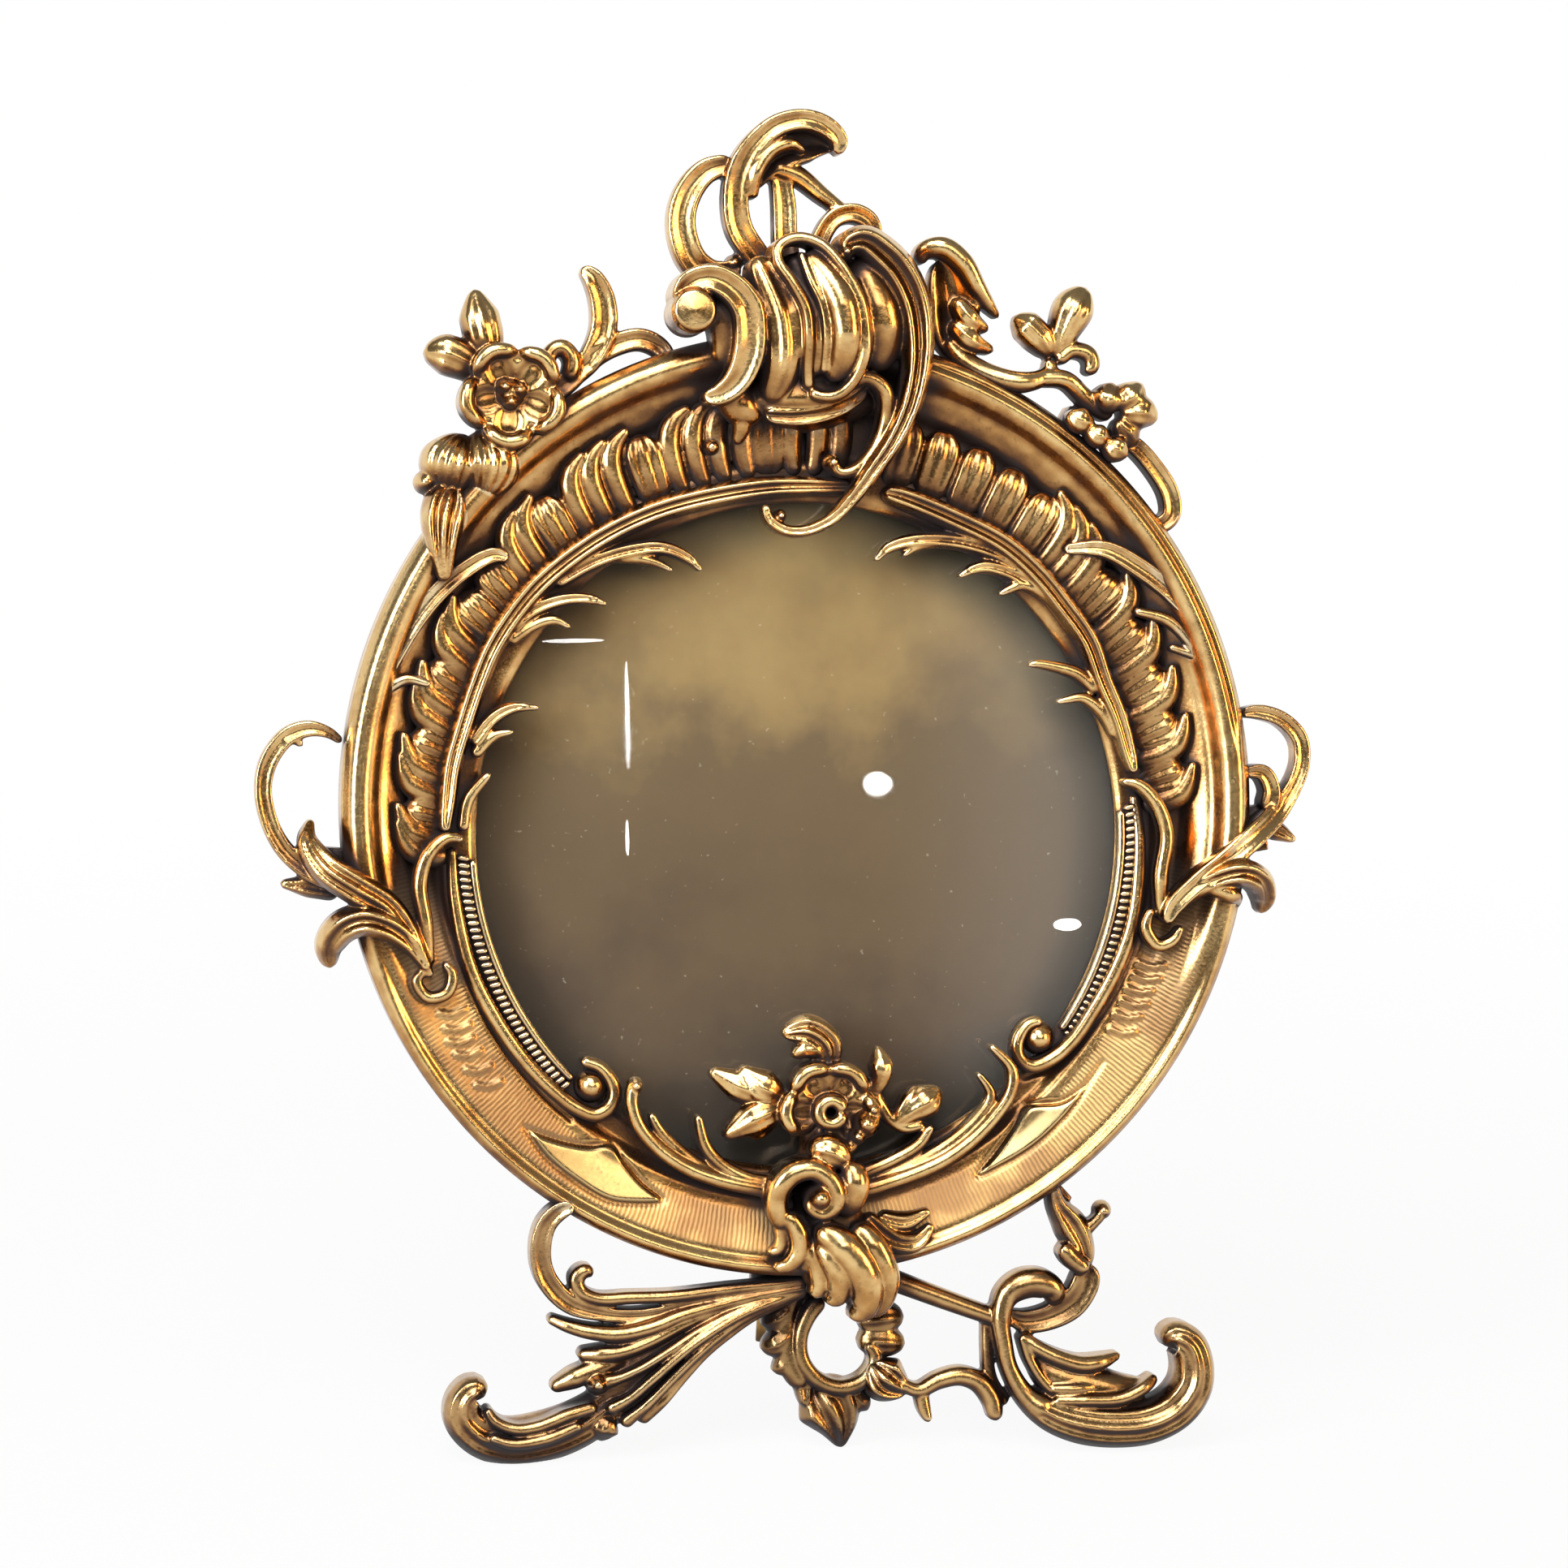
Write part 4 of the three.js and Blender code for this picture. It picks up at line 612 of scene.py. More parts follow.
# Castings round the ring. Each strand: section, path, width, back, rise and sometimes tilt, drawn from an
# anchor on the rim. Knobs and eyes: centre, radius, back, rise. Roses also: the degrees of their petals.
CREST = [
    (ROUND, [(-2, 14), (0, 4), (1.6, -5), (2, -13)], [22, 37, 36, 22], 9, [10, 13.4, 13.6, 9]),
    (BAND, [(-25.3, 3.4), (-23.4, 7.2), (-19.1, 8.4), (-15.1, 6.6), (-12.2, 3), (-11.4, -1.8),
            (-11.9, -6.9), (-14, -11.4), (-16.9, -13.7), (-20, -14.3)],
     [3.4, 4.8, 5.6, 6, 6.2, 6.2, 6, 5.2, 4.2, 2.6], 10,
     [13, 14.4, 14.8, 15, 15, 14.4, 13.6, 12.4, 11, 9.6]),
    (ROUND, [(-20, 3.4), (-17, 2.4), (-15.4, -2), (-15.8, -8)], [4, 5.6, 6, 5], 9.5, [10, 11.4, 11, 9]),
    (ROUND, [(-3, 13), (0.6, 4), (1.8, -3), (1.4, -10)], [3, 4, 4, 3], 11, [9.6, 11.6, 12, 10]),
    (POD, [(-10, 13), (-7.4, 7.4), (-5.4, 1.9), (-4.6, -4), (-5, -9.1), (-7, -15)],
     [5, 7.6, 8.6, 8.6, 7.4, 4.6], 11, [9.6, 11, 12, 12, 11, 8]),
    (ROUND, [(0.4, -12.6), (0, -9.2), (0, -3.3), (-0.7, 2.6), (-3.3, 7.7), (-5.9, 11.8), (-6, 14.4),
             (-4, 16), (-1.2, 16.4), (2.6, 15), (6.2, 11), (9.5, 4.8), (10.7, -1.1), (10.5, -6.9),
             (8.3, -11.6), (5.4, -13.8), (2.2, -13.8), (0.6, -12.8)], 2.1, 12,
     [9, 10, 12, 12.6, 12.6, 12, 11.6, 11.4, 11.4, 12, 13, 13.4, 13.4, 12.6, 11, 10, 9.4, 9]),
    (ROUND, [(-1.6, 13.8), (0.2, 8.5), (2.6, 3), (3.4, -3.3), (3, -9.6)], [1.4, 1.8, 1.8, 1.8, 1.4], 13,
     [9.5, 11, 11.5, 11, 9]),
    (ROUND, [(-0.4, 13.6), (3.6, 8.6), (6.2, 3.6), (7.1, -1.8), (6.6, -7), (4.6, -11)],
     [4.6, 6, 6.2, 6, 5.4, 3.8], 13, [9.5, 12, 13.6, 13.6, 12, 9]),
    (ROUND, [(9, 12.4), (12.6, 7), (14.6, 0), (14, -9)], [6.4, 8.6, 9.4, 7], 10.5, [10, 11.8, 12.4, 9.4]),
    (ROUND, [(9, 9), (11, 3), (11.6, -3), (11, -9)], [1.4, 2, 2, 1.6], 11, [11, 12, 12, 9.6]),
    (TWIN, [(6.6, 13.4), (8, 15.4), (10.8, 16), (14.3, 13.8), (18, 10), (20.8, 4.1), (21.8, -2.5),
            (21.5, -9.1), (20, -15.8), (17, -22.4), (13.2, -28), (9, -33.6), (5, -37.6), (0, -39.8),
            (-4, -39.6), (-7, -37.4), (-7.8, -34.6)],
     [3, 4.8, 6.6, 7.8, 8, 7.6, 6.8, 5.8, 5, 4.2, 3.6, 3, 2.6, 2.4, 2.4, 2.2, 1.8],
     [10, 10, 10.5, 11.5, 12.5, 12.5], [14, 14, 13, 11, 8, 6, 5]),
    (ROUND, [(1, -9), (1, -15), (1, -20.5)], [29, 29, 20], 8, [11, 10.8, 5]),
    (TWIN, [(-8, -12.6), (-0.7, -12.2), (4.8, -10.4), (9, -7.4)], [5, 6.4, 6.2, 4.4], 9,
     [9.4, 10.4, 10.8, 10.6], -35),
    (ROUND, [(8, -12), (11.6, -10.2), (15, -12.2), (16, -16), (15.3, -20.4), (13.2, -24.8), (10.2, -27.8),
             (7.4, -28.4), (5.8, -26.8)], [2, 2.6, 3, 3, 2.8, 2.6, 2.4, 2, 1.8], 10.6,
     [10, 10.4, 10, 8.6, 7.6, 6.8, 6.4, 6]),
    (ROUND, [(-16, -12), (-12, -15.6), (-8.4, -18.4)], [6, 7.4, 5], 9, [8, 8, 6.6]),
    (ROUND, [(-12.6, -15), (-11.8, -19.4), (-12.8, -23)], [3.4, 3.6, 2], 8, [8, 7, 5]),
]
CREST_KNOBS = [((5.8, -26.4), 1.8, 11, 6.4), ((-4.6, -36.8), 1.4, 13, 5), ((7.2, 13.8), 2, 14, 11),
               ((-17.4, -23.4), 1.8, 9, 4)]
CREST_EYE = ((-22.4, 2.1), 4.4, 10, 15.4)

FINIAL = [
    (BAND, [(-12.2, 13), (-13.6, 11), (-16.6, 10.4), (-20.6, 13), (-22.9, 20), (-21.6, 26), (-18, 30.4),
            (-12.8, 32)], [3.8, 5, 5.6, 6, 5.8, 5.6, 5, 4], 3, 5.4),
    (BAND, [(-4.5, 10), (-8.4, 14.6), (-11.6, 19.6), (-12.4, 26), (-11.2, 31.6), (-8.2, 36.2), (-4, 39.4),
            (1, 40.4), (5.6, 39), (8, 36.4), (7.6, 33.8)],
     [4.8, 5.2, 5.4, 5.2, 5, 4.6, 4.4, 4.2, 4, 3.4, 2], 3, [5, 5.4, 6.4, 7.4, 8, 8, 7, 6]),
    (SPOON, [(-9.6, 27), (-7, 32.6), (-2.6, 35.6), (3, 36.4), (7.4, 35.6)], [4, 8.6, 9.4, 7.4, 2.4], 2.5,
     [4, 6, 6, 5, 3]),
    (ROUND, [(-9, 25), (-8.4, 30), (-5.6, 34.2), (-1.6, 35.8), (1.4, 34.4)], [2, 2.6, 2.8, 2.6, 1.4], 4,
     [5, 6.4, 6.4, 6, 4.4]),
    (BAND, [(-1.5, 8), (-2.4, 18), (-2.6, 24), (-3.6, 31)], [5.4, 5, 4.8, 4], 2.6, 5),
    (ROUND, [(-5, 31.4), (0, 29.8), (5, 26), (9.8, 22.6)], [3.4, 4, 3.4, 2.6], 3, [5, 5, 4.6, 4]),
    (BAND, [(3.2, 9), (4.6, 17.4), (7.4, 21.6), (11.2, 22.6), (14.2, 21), (14.8, 18.4), (12.6, 17)],
     [4.4, 3.8, 3.8, 4, 3.8, 3.4, 2.4], 3, 5),
]
FINIAL_KNOBS = [((13, 17.6), 1.7, 3, 5), ((-12.4, 12.6), 1.9, 3, 5.4)]

SPRAY_LEFT = [
    (POD, [(-5.6, 11), (-7, 16), (-8, 20.4), (-9, 25.6)], [4.6, 7.4, 7.8, 2.6], 6, [6, 7.5, 7, 4]),
    (POD, [(-7.6, 8.6), (-11, 11.4), (-14.6, 13), (-18.8, 13.4)], [4.6, 7, 7.8, 4.8], 6, [6, 8, 8, 5.5]),
    (CREASED, [(-8.2, -1.6), (-6.6, -8.2), (-8, -15)], [9, 12.6, 9], 6, [9, 12.6, 9]),
    (CREASED, [(-11, -2.6), (-13.2, -8.2), (-14, -14.6)], [9, 13, 9], 6, [9, 12, 8.5]),
    (REED3, [(-13.4, -12.4), (-15.2, -18), (-15.6, -24), (-15.2, -31)], [9, 9, 6.4, 2.6],
     [8, 10, 11, 11.6], [8, 8, 6.6, 4]),
    (ROUND, [(9, 8), (9.8, 12), (7.8, 14.4), (5.6, 13.2), (5.8, 10.8)], [3.4, 3.6, 3.4, 3, 2], 6, 6),
    (BAND, [(10, 8), (13.6, 12.4), (16, 18), (15.9, 23.4), (14.2, 27.6), (11.8, 30)],
     [3.4, 4.8, 5.4, 5.2, 4.2, 2.4], 5, [5, 6, 6, 6, 6, 5]),
    (BAND, [(2, 4), (8, 7), (13, 11.8), (18.2, 15), (23.2, 16.2), (27, 14.6), (29.4, 11)],
     [4.6, 4.6, 4.4, 4.4, 4.4, 4, 3], [6, 6, 5, 5, 5, 5, 6], 5.6),
]
SPRAY_LEFT_ROSE = ((-2.1, 4.9), 9.2, 8, 10, (48, -24, -98, -168, 118))
SPRAY_LEFT_KNOBS = [((-2.6, 5.2), 3.7, 9, 9), ((-3.8, 6.4), 1.9, 10, 9.6), ((-1, 5.8), 1.8, 10, 9.6),
                    ((-2.6, 3.6), 1.9, 10, 9.4), ((-18.6, -11.8), 2.4, 8, 6.4)]

SPRAY_RIGHT = [
    (PETAL, [(-20, 10.6), (-21.2, 17), (-21.6, 24), (-23.6, 30.6)], [6, 10, 10.8, 7], 4.5,
     [6.4, 6.8, 6.8, 6.2]),
    (ROUND, [(-28.4, 29.4), (-27.2, 32), (-23.7, 32.6), (-19.8, 29.8), (-16.8, 25), (-14.4, 21.6),
             (-12.2, 19.2)], [2.6, 3.6, 4.2, 4, 3.4, 2.6, 1.4], 4.5, [6, 7.5, 8.4, 8.4, 7.5, 6, 4]),
    (POD, [(-21.4, 22.6), (-18.4, 18.6), (-14.4, 16.6)], [3, 4.2, 1.8], 5, [7, 8, 5]),
    (POD, [(-22, 18), (-18.4, 14.6), (-13.4, 12.6)], [3, 4.2, 1.8], 5, [7, 8, 5]),
    (ROUND, [(-23, 14.6), (-20, 11), (-15, 8), (-8.6, 6.4), (-4, 7.4), (-2.2, 9.2), (-3.4, 10.8)],
     [2.6, 4.4, 4.4, 4.2, 3.4, 2.8, 1.8], [5, 6, 7, 8, 7, 6, 6], 6),
    (POD, [(-2, 11.6), (-4.4, 15), (-7, 17.6), (-9.4, 19.4)], [3.4, 6, 6.2, 3], 6, [5.4, 7, 7, 4.4]),
    (POD, [(-1, 11), (0.4, 16), (2.6, 21), (5, 25.2)], [3.4, 6, 8, 5.2], 6, [5, 6.4, 7.4, 5]),
    (ROUND, [(-1, 10.4), (2, 12.8), (5.4, 12), (6, 9.6), (4.4, 8.6)], [2.6, 3.2, 3.4, 3, 2.2], 5.5, 6),
    (ROUND, [(-5, 7.2), (0.4, 7), (4.2, 4), (7.6, 1), (10, 0)], [3.4, 3.6, 3.6, 3.4, 3], [7, 7, 6, 6, 6],
     6),
    (POD, [(8, 0.4), (9.2, 3.6), (10, 6.6)], [4.4, 6.4, 4], 6, [8, 9, 6]),
    (POD, [(10.4, 1.4), (13.8, 4), (16, 6.4)], [4.4, 6.2, 3.4], 6, [8, 9, 6]),
    (POD, [(11.2, 0.4), (15.6, 0.6), (19.2, -0.6)], [5, 6.8, 3.6], 6, [8, 9, 5.6]),
    (POD, [(10.4, -0.8), (13, -3.4), (14.8, -5.6)], [4.6, 5.8, 3.2], 6, [8, 8, 5.4]),
    (POD, [(0, 0.2), (2.8, -1.2), (5.8, -2)], [3, 5.2, 3], 11, [5.4, 6.4, 4.6]),
    (POD, [(4, -2.8), (6.6, -4.2), (9, -4.8)], [3, 4.8, 3], 10.6, [5.4, 6.4, 4.6]),
    (POD, [(7.6, -5.2), (10.2, -6.8), (12.4, -8.2)], [3.4, 5.4, 3.4], 10, [5.4, 6.4, 4.6]),
    (BAND, [(9, -3), (14.4, -5.4), (19, -10.2), (22, -15.3), (22.2, -19.4), (19.6, -21.4), (17.2, -19.6)],
     [2.6, 3.6, 3.8, 3.9, 3.8, 3.4, 2.4], 4, 6),
]
SPRAY_RIGHT_KNOBS = [((18, -20), 1.9, 4, 6)]

SIDE_LEFT = [
    (BAND, [(1.4, 12.4), (-1.2, 14.2), (-5, 15), (-9, 13.6), (-12.6, 9), (-13.8, 3.6), (-12.6, -3),
            (-9.6, -8.5), (-5, -12.3), (0, -14.6)], [1.4, 2.2, 3.2, 3.6, 3.6, 3.4, 3.4, 3.6, 4, 4], 3.5,
     [5, 6, 6, 6, 6, 7, 9]),
    (ROUND, [(-10.5, 12), (-8, 13), (-6.2, 11.6)], [2, 2, 1.2], 5, 4),
    (REED3, [(-4.6, -2.4), (-5.4, -6.4), (-2.4, -11.4), (3.6, -15.6), (9.8, -19.6), (14.4, -26),
             (18.2, -33)], [1.4, 4, 6, 6.6, 6, 4.6, 1.6], [4, 5, 7, 10, 10, 10, 10],
     [5, 9, 11, 9, 7, 6, 4]),
    (LEAF, [(1, -16.5), (-5, -15.6), (-10.5, -15)], [4.4, 4.4, 1.6], 2.5, [6, 5, 3]),
    (TWIN, [(17.6, -31.4), (14.4, -26.6), (10, -23.2), (5, -21.8), (1, -23.4), (-1.2, -27), (-1, -31.4)],
     [2, 4.4, 5.6, 6.2, 6.4, 5.6, 3], [10, 10, 10, 9, 7, 4, 3], [5, 6, 8, 10, 10, 9, 5]),
    (ROUND, [(17.8, -31), (17, -22), (16, -15), (17.6, -9.4), (21.4, -6), (24.6, -6.4)],
     [2.4, 3, 3, 2.8, 2.4, 1.4], 9.5, [4, 5, 5, 5, 4.5, 4]),
    (ROUND, [(17.6, -31), (15.4, -33.6), (17.6, -36.8), (21.2, -36), (22.2, -32.4), (20.6, -30)],
     [1.6, 2.2, 2.5, 2.5, 2.3, 1.4], 9, 5),
]
SIDE_RIGHT = [
    (BAND, [(-2, 17.8), (2, 18), (6.6, 16.4), (9.9, 12.8), (10.4, 8), (8.4, 2.8), (4.6, -2.2),
            (-0.6, -6.4), (-6.6, -11.2), (-12, -15.2), (-17, -20), (-18.5, -23.4)],
     [2, 3, 3.2, 3.4, 3.4, 3.6, 4.6, 5, 4.6, 4, 3.4, 2], [3, 3, 3, 3, 5, 9, 10], [6, 6, 6, 7, 11, 8, 6]),
    (BAND, [(-2, 6), (2, 6), (3.8, 2.6), (3, -1.6)], [2, 3.4, 3.6, 4], 4, 7),
    (LEAF, [(2, -4), (6, -5.7), (9.4, -7.6)], [4, 4, 1.4], 3, 5),
    (TWIN, [(-17.6, -21.6), (-13, -17.4), (-8, -14.4), (-3, -13.6), (0.8, -15.4), (2.8, -19), (2.4, -22)],
     [2, 4, 5, 5.6, 5.4, 4.4, 2.4], [10, 10, 10, 9, 7, 4, 3], [5, 6, 8, 10, 10, 8, 5]),
    (ROUND, [(-11, -16), (-7.4, -17), (-4.4, -18.6), (-3, -21)], [3, 3.4, 3.2, 2], [10, 9, 7, 4],
     [6, 8, 9, 6]),
    (ROUND, [(-18.8, -23), (-19, -14), (-18, -6), (-20, 0), (-23.6, 3.8), (-27, 4.5)],
     [2.4, 3, 3, 2.8, 2.4, 1.4], 9.5, [4, 5, 5, 5, 4.5, 4]),
    (ROUND, [(-21, -20.5), (-22, -24.4), (-19.6, -27.8), (-16.6, -26.8), (-15, -24)],
     [1.6, 2.4, 2.6, 2.4, 1.4], 9, 5),
]

CLASP = [
    (REED3, [(5.6, 41.6), (4.8, 46.4), (1, 49), (-3.8, 48.4)], [4.4, 6.8, 6.6, 3], 9, [5, 6, 6, 4]),
    (POD, [(4, 45), (0.8, 45.4), (-1.8, 43.8)], [3, 3.6, 2], 9, [5.5, 5.5, 4]),
    (POD, [(-3.6, 36.4), (-8, 38.2), (-12.2, 42)], [5, 7.2, 2.4], 9, [6, 7, 4.5]),
    (POD, [(-6, 36), (-12, 38.2), (-18, 41.4)], [4.4, 6.4, 2.2], 8.6, [5.4, 6, 4]),
    (POD, [(-3.6, 34.4), (-9.4, 32), (-15.3, 28.2)], [5, 7, 2.2], 9, [6, 7, 4]),
    (POD, [(-5, 32.4), (-8.4, 29.4), (-9.8, 28)], [3.4, 3.6, 2], 8.6, [5, 5, 3.6]),
    (POD, [(14, 36.4), (15.4, 39), (15.8, 42), (15.1, 45.9)], [2.8, 3.4, 4.6, 1.4], 9,
     [4.8, 5.4, 6, 3.6]),
    (POD, [(18, 30.4), (20.8, 32.6), (24.6, 35), (27.6, 37.4)], [3.4, 4.6, 6.6, 3.2], 9,
     [4.8, 5.5, 6.5, 4.5]),
    (POD, [(18.6, 31), (21.4, 34.8), (23, 38)], [3, 4, 1.8], 9, [5, 5.4, 4]),
    (ROUND, [(10.6, 41), (12.6, 38.6), (15, 35.4), (17.4, 31.6), (20.6, 29.8), (24.2, 30.4)],
     [2, 2.2, 2.4, 2.6, 2.4, 1.8], 9, 4.6),
    (ROUND, [(5, 34), (4.4, 25), (5, 14), (8, 3), (11, -4)], [8, 10, 13, 16, 12], 10.5,
     [4, 5, 5.5, 5.5, 4]),
    (POD, [(0.6, 26.4), (4.4, 26), (8.4, 23.6)], [4.6, 6.6, 5], 11, [9, 10.4, 9.6]),
    (ROUND, [(8.2, 24), (9.6, 20), (8.8, 16.2), (6.6, 13.6)], [4.4, 5.4, 5.2, 4], 11, [10, 11, 10, 8]),
    (ROUND, [(-4.2, 11), (-5.6, 15.6), (-5, 19.4), (-2.4, 22), (1.1, 22.6), (4, 21), (5.8, 18),
             (5.6, 15.6), (3.4, 13.9), (1, 15), (0.4, 17.2)],
     [3.6, 4.2, 4.4, 4.4, 4.2, 4, 3.6, 3.2, 2.8, 2.4, 2], 10,
     [9, 10, 11.5, 12, 12, 12, 12, 11.6, 11, 10.6, 10]),
    (ROUND, [(-3.8, 14), (-1.4, 10.2), (-1, 6.6), (-2.8, 4), (-6, 3)], [3.4, 4, 4, 3.4, 2], 10.5,
     [9, 9, 8.4, 7.4, 5.5]),
    (ROUND, [(-4.8, 11.6), (-4.2, 8.4), (-5, 6.6), (-7, 6.2)], [2.4, 2.6, 2.4, 1.6], 10.5,
     [7, 6.6, 6, 5]),
    (POD, [(-0.4, 8), (1, 5), (-0.4, 2.4)], [3.4, 4, 2.6], 10.5, [8, 8, 6]),
    (ROUND, [(2, 11.2), (7, 7.6), (10.4, 3.6), (12.2, -1), (11.4, -5.2), (9, -7)],
     [5, 6.6, 6.8, 6.4, 5.2, 3], 10.6, [10, 12, 12, 11, 8.6, 6]),
    (ROUND, [(2.4, 8.8), (4.8, 5.2), (6.8, 1.2), (6.2, -2.6), (4.4, -4)], [4, 5, 5.2, 4.4, 2.6], 10.6,
     [9, 10.4, 10, 8, 6]),
    (ROUND, [(9.4, 11.4), (13.2, 7.4), (15.8, 1.4), (15.4, -3.2), (13.2, -6.8)], [4, 5.2, 5.4, 4.6, 2.8],
     10.6, [9, 10.6, 10, 8, 6]),
    (ROUND, [(0.6, 8.6), (2.4, 4), (3.2, 0), (2, -3)], [3.4, 4.2, 4, 2.6], 10.6, [7.6, 8, 7, 5.4]),
    (LEAF, [(12.4, 13), (15.4, 9.8), (18.6, 7.6), (22.6, 7.6), (25.8, 11)], [3, 4.6, 5.4, 4.6, 1.6], 10.6,
     [5, 5, 5, 4.4, 3.4]),
    (LEAF, [(15, 12.6), (20, 11.4), (25.4, 13.6)], [3, 4, 1.6], 10.6, [4.4, 4.4, 3.2]),
    (ROUND, [(-2, 17), (-8, 18.3), (-15, 19.8), (-22, 22.3), (-28, 26.3), (-32, 31), (-33.4, 36),
             (-32.6, 39.5)], [4, 3.2, 3, 2.8, 2.6, 2.4, 2.4, 3], 10, 5),
    (ROUND, [(-13, 19.5), (-19, 22.5), (-24, 26), (-28, 30), (-29.8, 33.4)], [3, 2.6, 2.4, 2.2, 1.4], 10,
     4),
    (ROUND, [(-5, 19.4), (-10.7, 20.4), (-15.4, 22.8), (-18.8, 26.4), (-20.6, 33)],
     [3, 2.8, 2.6, 2.4, 1.4], 10, 4.6),
    (ROUND, [(8, 17), (15, 18.6), (27, 23), (33, 27), (38, 32), (41, 36.5), (41.4, 41), (37, 46)],
     [4, 3.2, 3, 2.8, 2.6, 2.4, 2.2, 1.4], 10, 5),
    (ROUND, [(14, 19), (22, 22.6), (30, 27.4), (35, 32), (37.4, 36), (34.6, 40.6)],
     [3, 2.8, 2.6, 2.4, 2.2, 1.2], 10, 4),
    (ROUND, [(10, 20.4), (17.9, 23.6), (23, 26.6), (25.6, 30.4)], [3, 2.6, 2.4, 1.6], 10, 4.4),
]
CLASP_ROSE = ((5, 33.8), 8.6, 9, 8.6, (185, 122, 58, -12, -78))
CLASP_KNOBS = [((2.6, 17), 3.4, 12, 11), ((12.2, 31), 3.3, 10, 9.6),
               ((10.4, 28.6), 2.3, 10, 8.8), ((13.4, 33.8), 2.1, 10, 8.6), ((-32.6, 38.8), 1.7, 11, 5)]
ROSE_EYE, ROSE_EYE_RADIUS = (5.1, 33.4), 2.3

FOOT_LEFT = [
    (BAND, [(-44.6, 15.4), (-47.1, 14.6), (-49.7, 12), (-50.9, 7.7), (-50.5, 2.9), (-48.3, -1.1),
            (-44.7, -4.3), (-39.2, -6), (-33.2, -6.6), (-27.2, -6), (-21.2, -4.6), (-13.4, -3),
            (1.5, -0.8)], [2.4, 3.6, 4, 4.2, 4.2, 4.2, 3.8, 3, 2.8, 2.6, 2.4, 2.4, 2.4],
     [7, 5, 4, 3, 3, 3], 7.4),
    (ROUND, [(-40.8, 1.2), (-42, 2.4), (-43.8, 1.2), (-43.2, -1.4), (-40, -3), (-33.2, -3), (-25.2, -2.8),
             (-13.4, -1.6), (1.5, -0.4)], [2, 3, 3.2, 3, 2.6, 2.6, 2.4, 2.2, 2], 4,
     [6, 7, 7, 7, 7, 7, 7, 6.4, 6]),
    (ROUND, [(-49.4, -6.8), (-45.5, -8.4), (-40.8, -9.6), (-35.2, -10), (-29.2, -8.8), (-23.2, -6.6),
             (-13.4, -4.2), (1.5, -1.2)], [2, 2.6, 3, 3.2, 3, 2.8, 2.4, 2.2], 3.4,
     [5, 7, 8, 8.4, 8.4, 8, 7, 6.4]),
    (ROUND, [(-43.6, -14.2), (-39, -14), (-34.6, -13.4), (-29.6, -11.6), (-22.4, -8.2), (-13.4, -5),
             (1.5, -1.5)], [2.6, 3.4, 2.8, 2.6, 2.4, 2.2, 2], 3, [6, 8, 8.4, 8.4, 8, 7, 6]),
    (ROUND, [(-40, -19.6), (-36, -18.6), (-31.4, -16.6), (-26, -13.4), (-20, -9.6), (-12.4, -6),
             (1.5, -1.8)], [3.4, 1.9, 1.7, 1.7, 1.6, 1.5, 1.4], 3.4, [8, 8.6, 9, 9, 8.6, 7.4, 6]),
    (ROUND, [(-48.8, -20.8), (-44, -18.6), (-39, -16.6), (-34, -15)], [2.4, 4.2, 3.8, 2.6], 3,
     [5.4, 7.5, 7.5, 6.5]),
    (ROUND, [(-38, -25), (-33.6, -22.4), (-28.4, -18), (-22.6, -13.2), (-17, -9.4), (-10.6, -6.2),
             (1.5, -2.1)], [2.8, 1.9, 1.8, 1.7, 1.6, 1.5, 1.4], 3.4, [8, 9, 9.4, 9.4, 9, 7.6, 6]),
    (ROUND, [(-35, -28), (-30.4, -24), (-25.6, -19.2), (-20.6, -14.4), (-15.6, -10.4), (-10, -7),
             (1.5, -2.4)], [2.8, 1.9, 1.8, 1.7, 1.6, 1.5, 1.4], 3.2, [7, 8.4, 8.6, 8.6, 8, 7, 6]),
    (ROUND, [(-31.6, -27.4), (-27, -23.4), (-22.8, -18.6), (-18.4, -14), (-14, -10.6), (-9, -7.4),
             (1.5, -2.8)], [2.8, 2.2, 2, 1.9, 1.8, 1.6, 1.4], 3, [6.5, 7.4, 7.4, 7.4, 7, 6.4, 5.6]),
    (ROUND, [(-4, -2.6), (-14, -6.6), (-24, -12.4), (-33, -19.6), (-40, -25)], [6, 9, 13, 16, 13], 2.6,
     [5, 6.2, 7, 7.2, 6.4]),
    (BELLY, [(-34, -22), (-43, -28), (-50.6, -30.6), (-57, -31.2), (-62.6, -29.4), (-65.8, -25.8),
             (-65.6, -22.4), (-63.4, -20.6), (-61.8, -21.8)], [8, 9.6, 10, 9.6, 8.8, 8, 7, 6.2, 4.4], 3,
     [6.5, 7, 7.5, 8, 8.6, 9.4, 10, 10, 8]),
    (ROUND, [(-40, -24), (-46, -25.6), (-51.4, -27.6), (-56, -28), (-59.8, -26.4), (-61.6, -23.8)],
     [2.4, 2.6, 2.6, 2.4, 2.2, 1.8], 3.4, [8, 8.8, 9, 9, 8.6, 8]),
    (ROUND, [(-43, -27.4), (-50, -30), (-56.6, -30.8), (-61, -29.4)], [2, 2.4, 2.2, 1.8], 3.6,
     [8.4, 9, 9.2, 8.8]),
    (POD, [(-37, -26.4), (-38.4, -29), (-38.8, -31.4)], [5, 6, 4], 3, [7.5, 7.5, 5]),
]
FOOT_LEFT_KNOBS = [((-39.8, -19.6), 2.4, 5, 8.4)]

